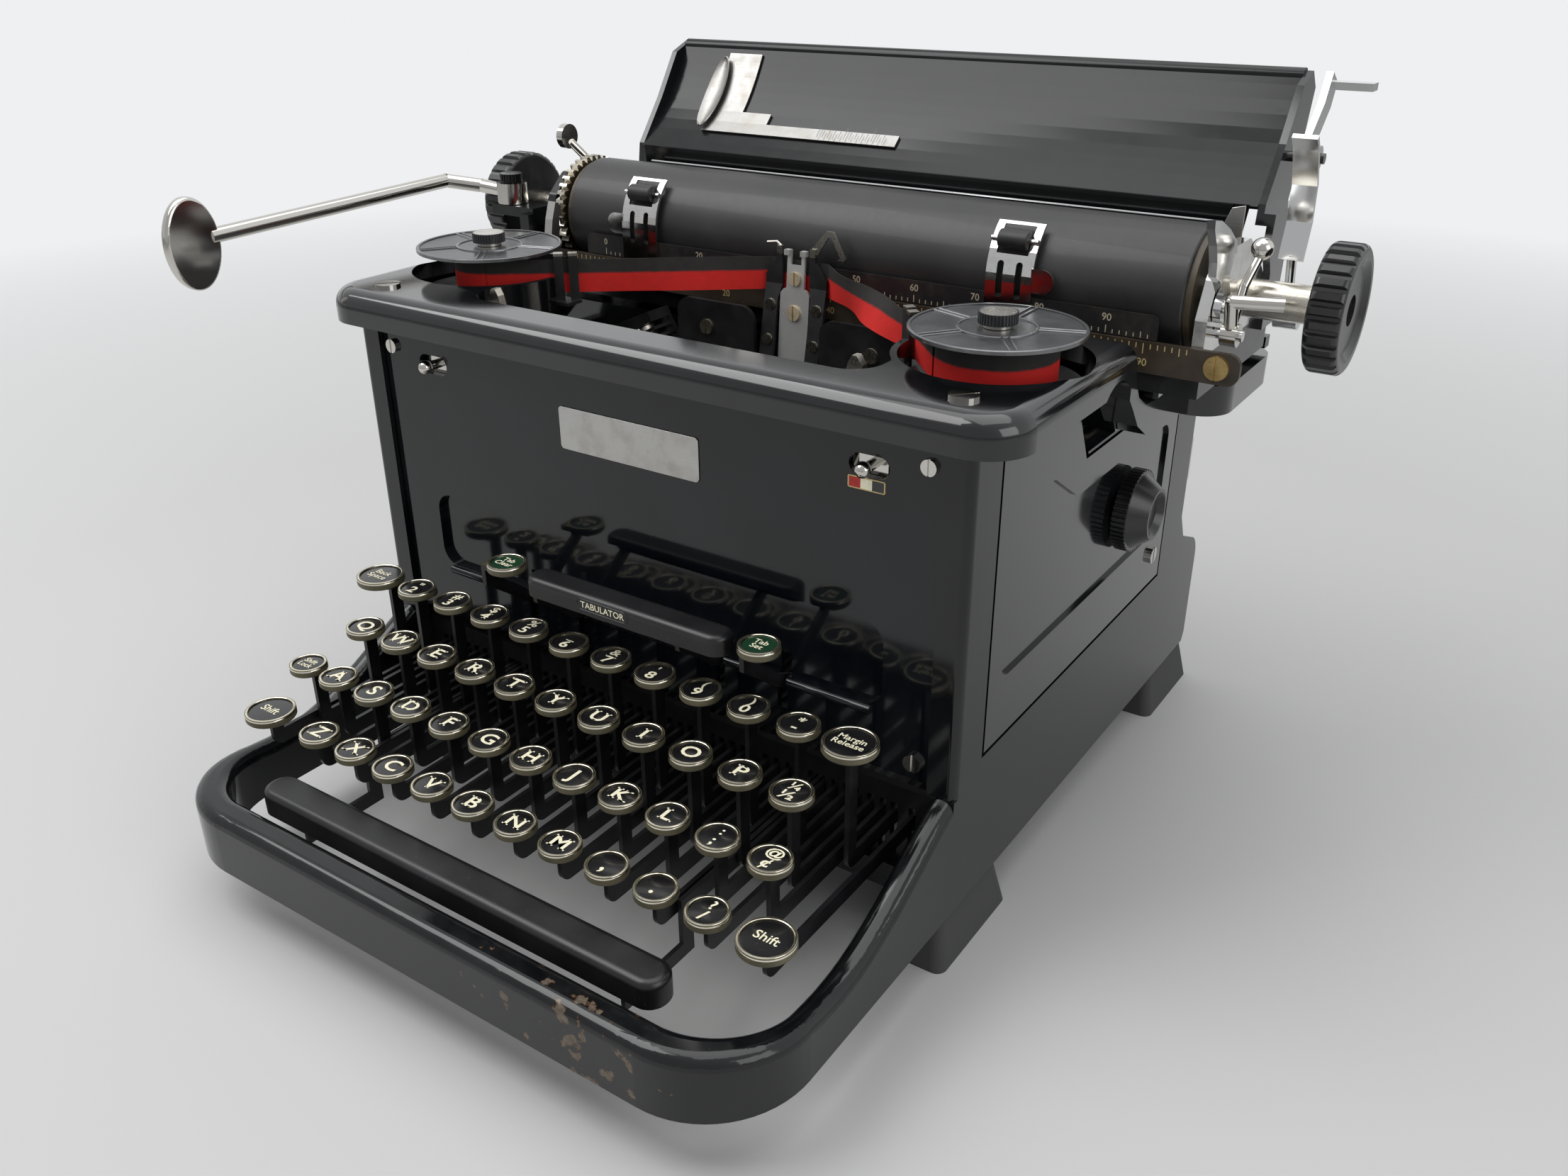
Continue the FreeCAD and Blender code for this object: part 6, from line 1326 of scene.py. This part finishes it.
    def printing(self) -> None:
        """Parts round the printing point, and the spools."""
        # The plate is only part metal: its pale grey diffuse rest is a painted reflection that keeps it
        # bright.
        self.finishes["type_guide"] = TwoTone(
            "guide_chrome", (0.8, 0.8, 0.79), 0.22, metal=0.6, dark=(0.36, 0.3, 0.2), dark_rough=0.3,
            age=0.2, where=lambda g: 1.0 - self.any_of(spot.mask(g) for spot in self.guide_screws))
        self.finishes["ribbon_vibrator"] = TwoTone(
            "vibrator_metal", (0.62, 0.59, 0.52), 0.22, metal=1.0, dark_rough=0.28,
            where=lambda g: self.any_of([g.position[2] > self.vibrator_loop,
                                         *(spot.mask(g) for spot in self.vibrator_screws)]))
        self.finishes["type_segment"] = TwoTone(
            "segment_metal", (0.6, 0.57, 0.5), 0.24, metal=1.0, dark=(0.01, 0.01, 0.011),
            dark_rough=0.28, where=lambda g: self.any_of(spot.mask(g) for spot in self.segment_screws))
        for side in Side:
            node = f"spool_{side.name.lower()}"
            nut = Spot((side.value * SPOOL_AT[0], SPOOL_AT[1], None), self.nut[0])
            self.finishes[node] = TwoTone(
                f"{node}_metal", (0.66, 0.63, 0.57), 0.22, metal=1.0, age=0.4,
                dark=(0.035, 0.036, 0.038), dark_rough=0.16,
                where=lambda g, nut=nut: nut.mask(g) * (g.position[2] > self.nut[1]))

    @staticmethod
    def any_of(masks: Iterable[Shade]) -> Shade:
        """1 where any of the masks is 1."""
        total, *others = masks
        for mask in others:
            total = total + mask
        return total.clipped()

    def build(self, nodes: dict[str, bpy.types.Object]) -> None:
        """Gives every CAD node its finish."""
        for name, thing in nodes.items():
            if name not in self.finishes:
                continue
            finish = self.finishes[name]
            thing.data.materials.clear()
            thing.data.materials.append(finish.material())
            thing.data.shade_smooth()
            thing.data.set_sharp_from_angle(angle=math.radians(self.smooth))
            LOG.info("node %s wears %s", name, finish.name)


@dataclass
class Studio:
    """Floor, backdrop, lamps and camera."""

    eye: Point = (276.0, -430.0, 313.0)
    turn: Point = (1.96444743, 0.59806386, -0.37626394)
    focal: float = 1867.8
    width: int = 2212
    sensor: float = 36.0
    floor_half: float = 12.0
    floor_fade: Flat = (450.0, 1300.0)
    haze: Colour = (0.86, 0.87, 0.88)

    def camera(self) -> None:
        """Places the camera."""
        vector = Vector(self.turn)
        world_to_eye = Quaternion(vector.normalized(), vector.length).to_matrix()
        flip = Matrix(((1.0, 0.0, 0.0), (0.0, -1.0, 0.0), (0.0, 0.0, -1.0)))
        made = bpy.data.cameras.new("camera")
        made.sensor_width = self.sensor
        made.lens = self.focal * self.sensor / self.width
        made.clip_start = 0.01
        made.clip_end = 50.0
        thing = bpy.data.objects.new("camera", made)
        place = (flip @ world_to_eye).transposed().to_4x4()
        place.translation = Vector(self.eye) * MM
        thing.matrix_world = place
        bpy.context.scene.collection.objects.link(thing)
        bpy.context.scene.camera = thing

    @staticmethod
    def lamp(name: str, place: Point, target: Point, size: Flat, power: float) -> None:
        """Adds one soft rectangular lamp, places in metres."""
        made = bpy.data.lights.new(name, "AREA")
        made.shape = "RECTANGLE"
        made.size, made.size_y = size
        made.energy = power
        thing = bpy.data.objects.new(name, made)
        thing.location = place
        thing.rotation_euler = (Vector(place) - Vector(target)).to_track_quat("Z", "Y").to_euler()
        bpy.context.scene.collection.objects.link(thing)

    def floor(self) -> None:
        """Makes the floor, which fades into the haze where the camera sees it far away."""
        mesh = bpy.data.meshes.new("floor")
        ends = (-self.floor_half, self.floor_half)
        mesh.from_pydata([(x, y, 0.0) for x, y in rectangle(ends, ends)], [], [(0, 1, 2, 3)])
        graph = Graph("floor_pale")
        graph.set(Base_Color=(0.58, 0.58, 0.575), Roughness=0.8)
        fade = graph.square_to((0.0, 0.0, None)).root().ramp(*self.floor_fade)
        direct = Shade(graph, graph.node("ShaderNodeLightPath").outputs["Is Camera Ray"])
        glow = graph.node("ShaderNodeEmission", None, {"Color": self.haze, "Strength": 1.0})
        blend = graph.node("ShaderNodeMixShader", None, {
            0: fade * direct, 1: graph.shader.outputs[0], 2: glow.outputs[0]})
        graph.feed(graph.tree.nodes["Material Output"].inputs[0], blend.outputs[0])
        mesh.materials.append(graph.material)
        floor = bpy.data.objects.new("floor", mesh)
        bpy.context.scene.collection.objects.link(floor)

    def sky(self) -> None:
        """Pale surroundings, darker in front of the object and dimmer in reflections than as seen."""
        world = bpy.data.worlds.new("world")
        bpy.context.scene.world = world
        world.use_nodes = True
        nodes = Nodes(world.node_tree)
        ray = nodes.node("ShaderNodeLightPath")
        way = nodes.node("ShaderNodeTexCoord").outputs["Generated"]
        parts = nodes.node("ShaderNodeSeparateXYZ", None, {0: way})
        front = nodes.node("ShaderNodeMapRange", None, {
            "Value": parts.outputs[1], "From Min": -0.75, "From Max": 0.15,
            "To Min": 0.55, "To Max": 1.0})
        mirrored = nodes.node("ShaderNodeMix", None, {
            "Factor": ray.outputs["Is Glossy Ray"], "A": 0.5, "B": front.outputs[0]})
        level = nodes.node("ShaderNodeMix", None, {
            "Factor": ray.outputs["Is Camera Ray"], "A": mirrored.outputs["Result"], "B": 1.0})
        back = world.node_tree.nodes["Background"]
        nodes.feed(back.inputs["Color"], self.haze)
        nodes.feed(back.inputs["Strength"], level.outputs["Result"])

    def build(self) -> None:
        """Sets the whole stage."""
        self.camera()
        self.floor()
        self.sky()
        self.lamp("overhead", (0.1, 0.1, 1.7), (0.0, -0.05, 0.1), (1.6, 1.4), 11.0)
        self.lamp("key", (-0.62, -0.5, 1.2), (0.0, 0.0, 0.2), (0.95, 0.75), 9.0)
        self.lamp("right", (1.6, -0.4, 0.8), (0.0, 0.0, 0.12), (1.0, 1.0), 6.0)
        bpy.context.scene.view_settings.view_transform = "Standard"


def main() -> None:
    """Builds the classes in order round the frame."""
    logging.basicConfig(level=logging.INFO, format="%(name)s: %(message)s")
    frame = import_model()
    Studio().build()
    Castings().build(frame["nodes"])
    Keyboard().build()
    Spools().build()
    RibbonRun().build()
    PaperPath().build()
    PAPER_RULER.build()
    MARGIN_RULER.build()
    FrontTrim().build()


if __name__ == "__main__":
    main()
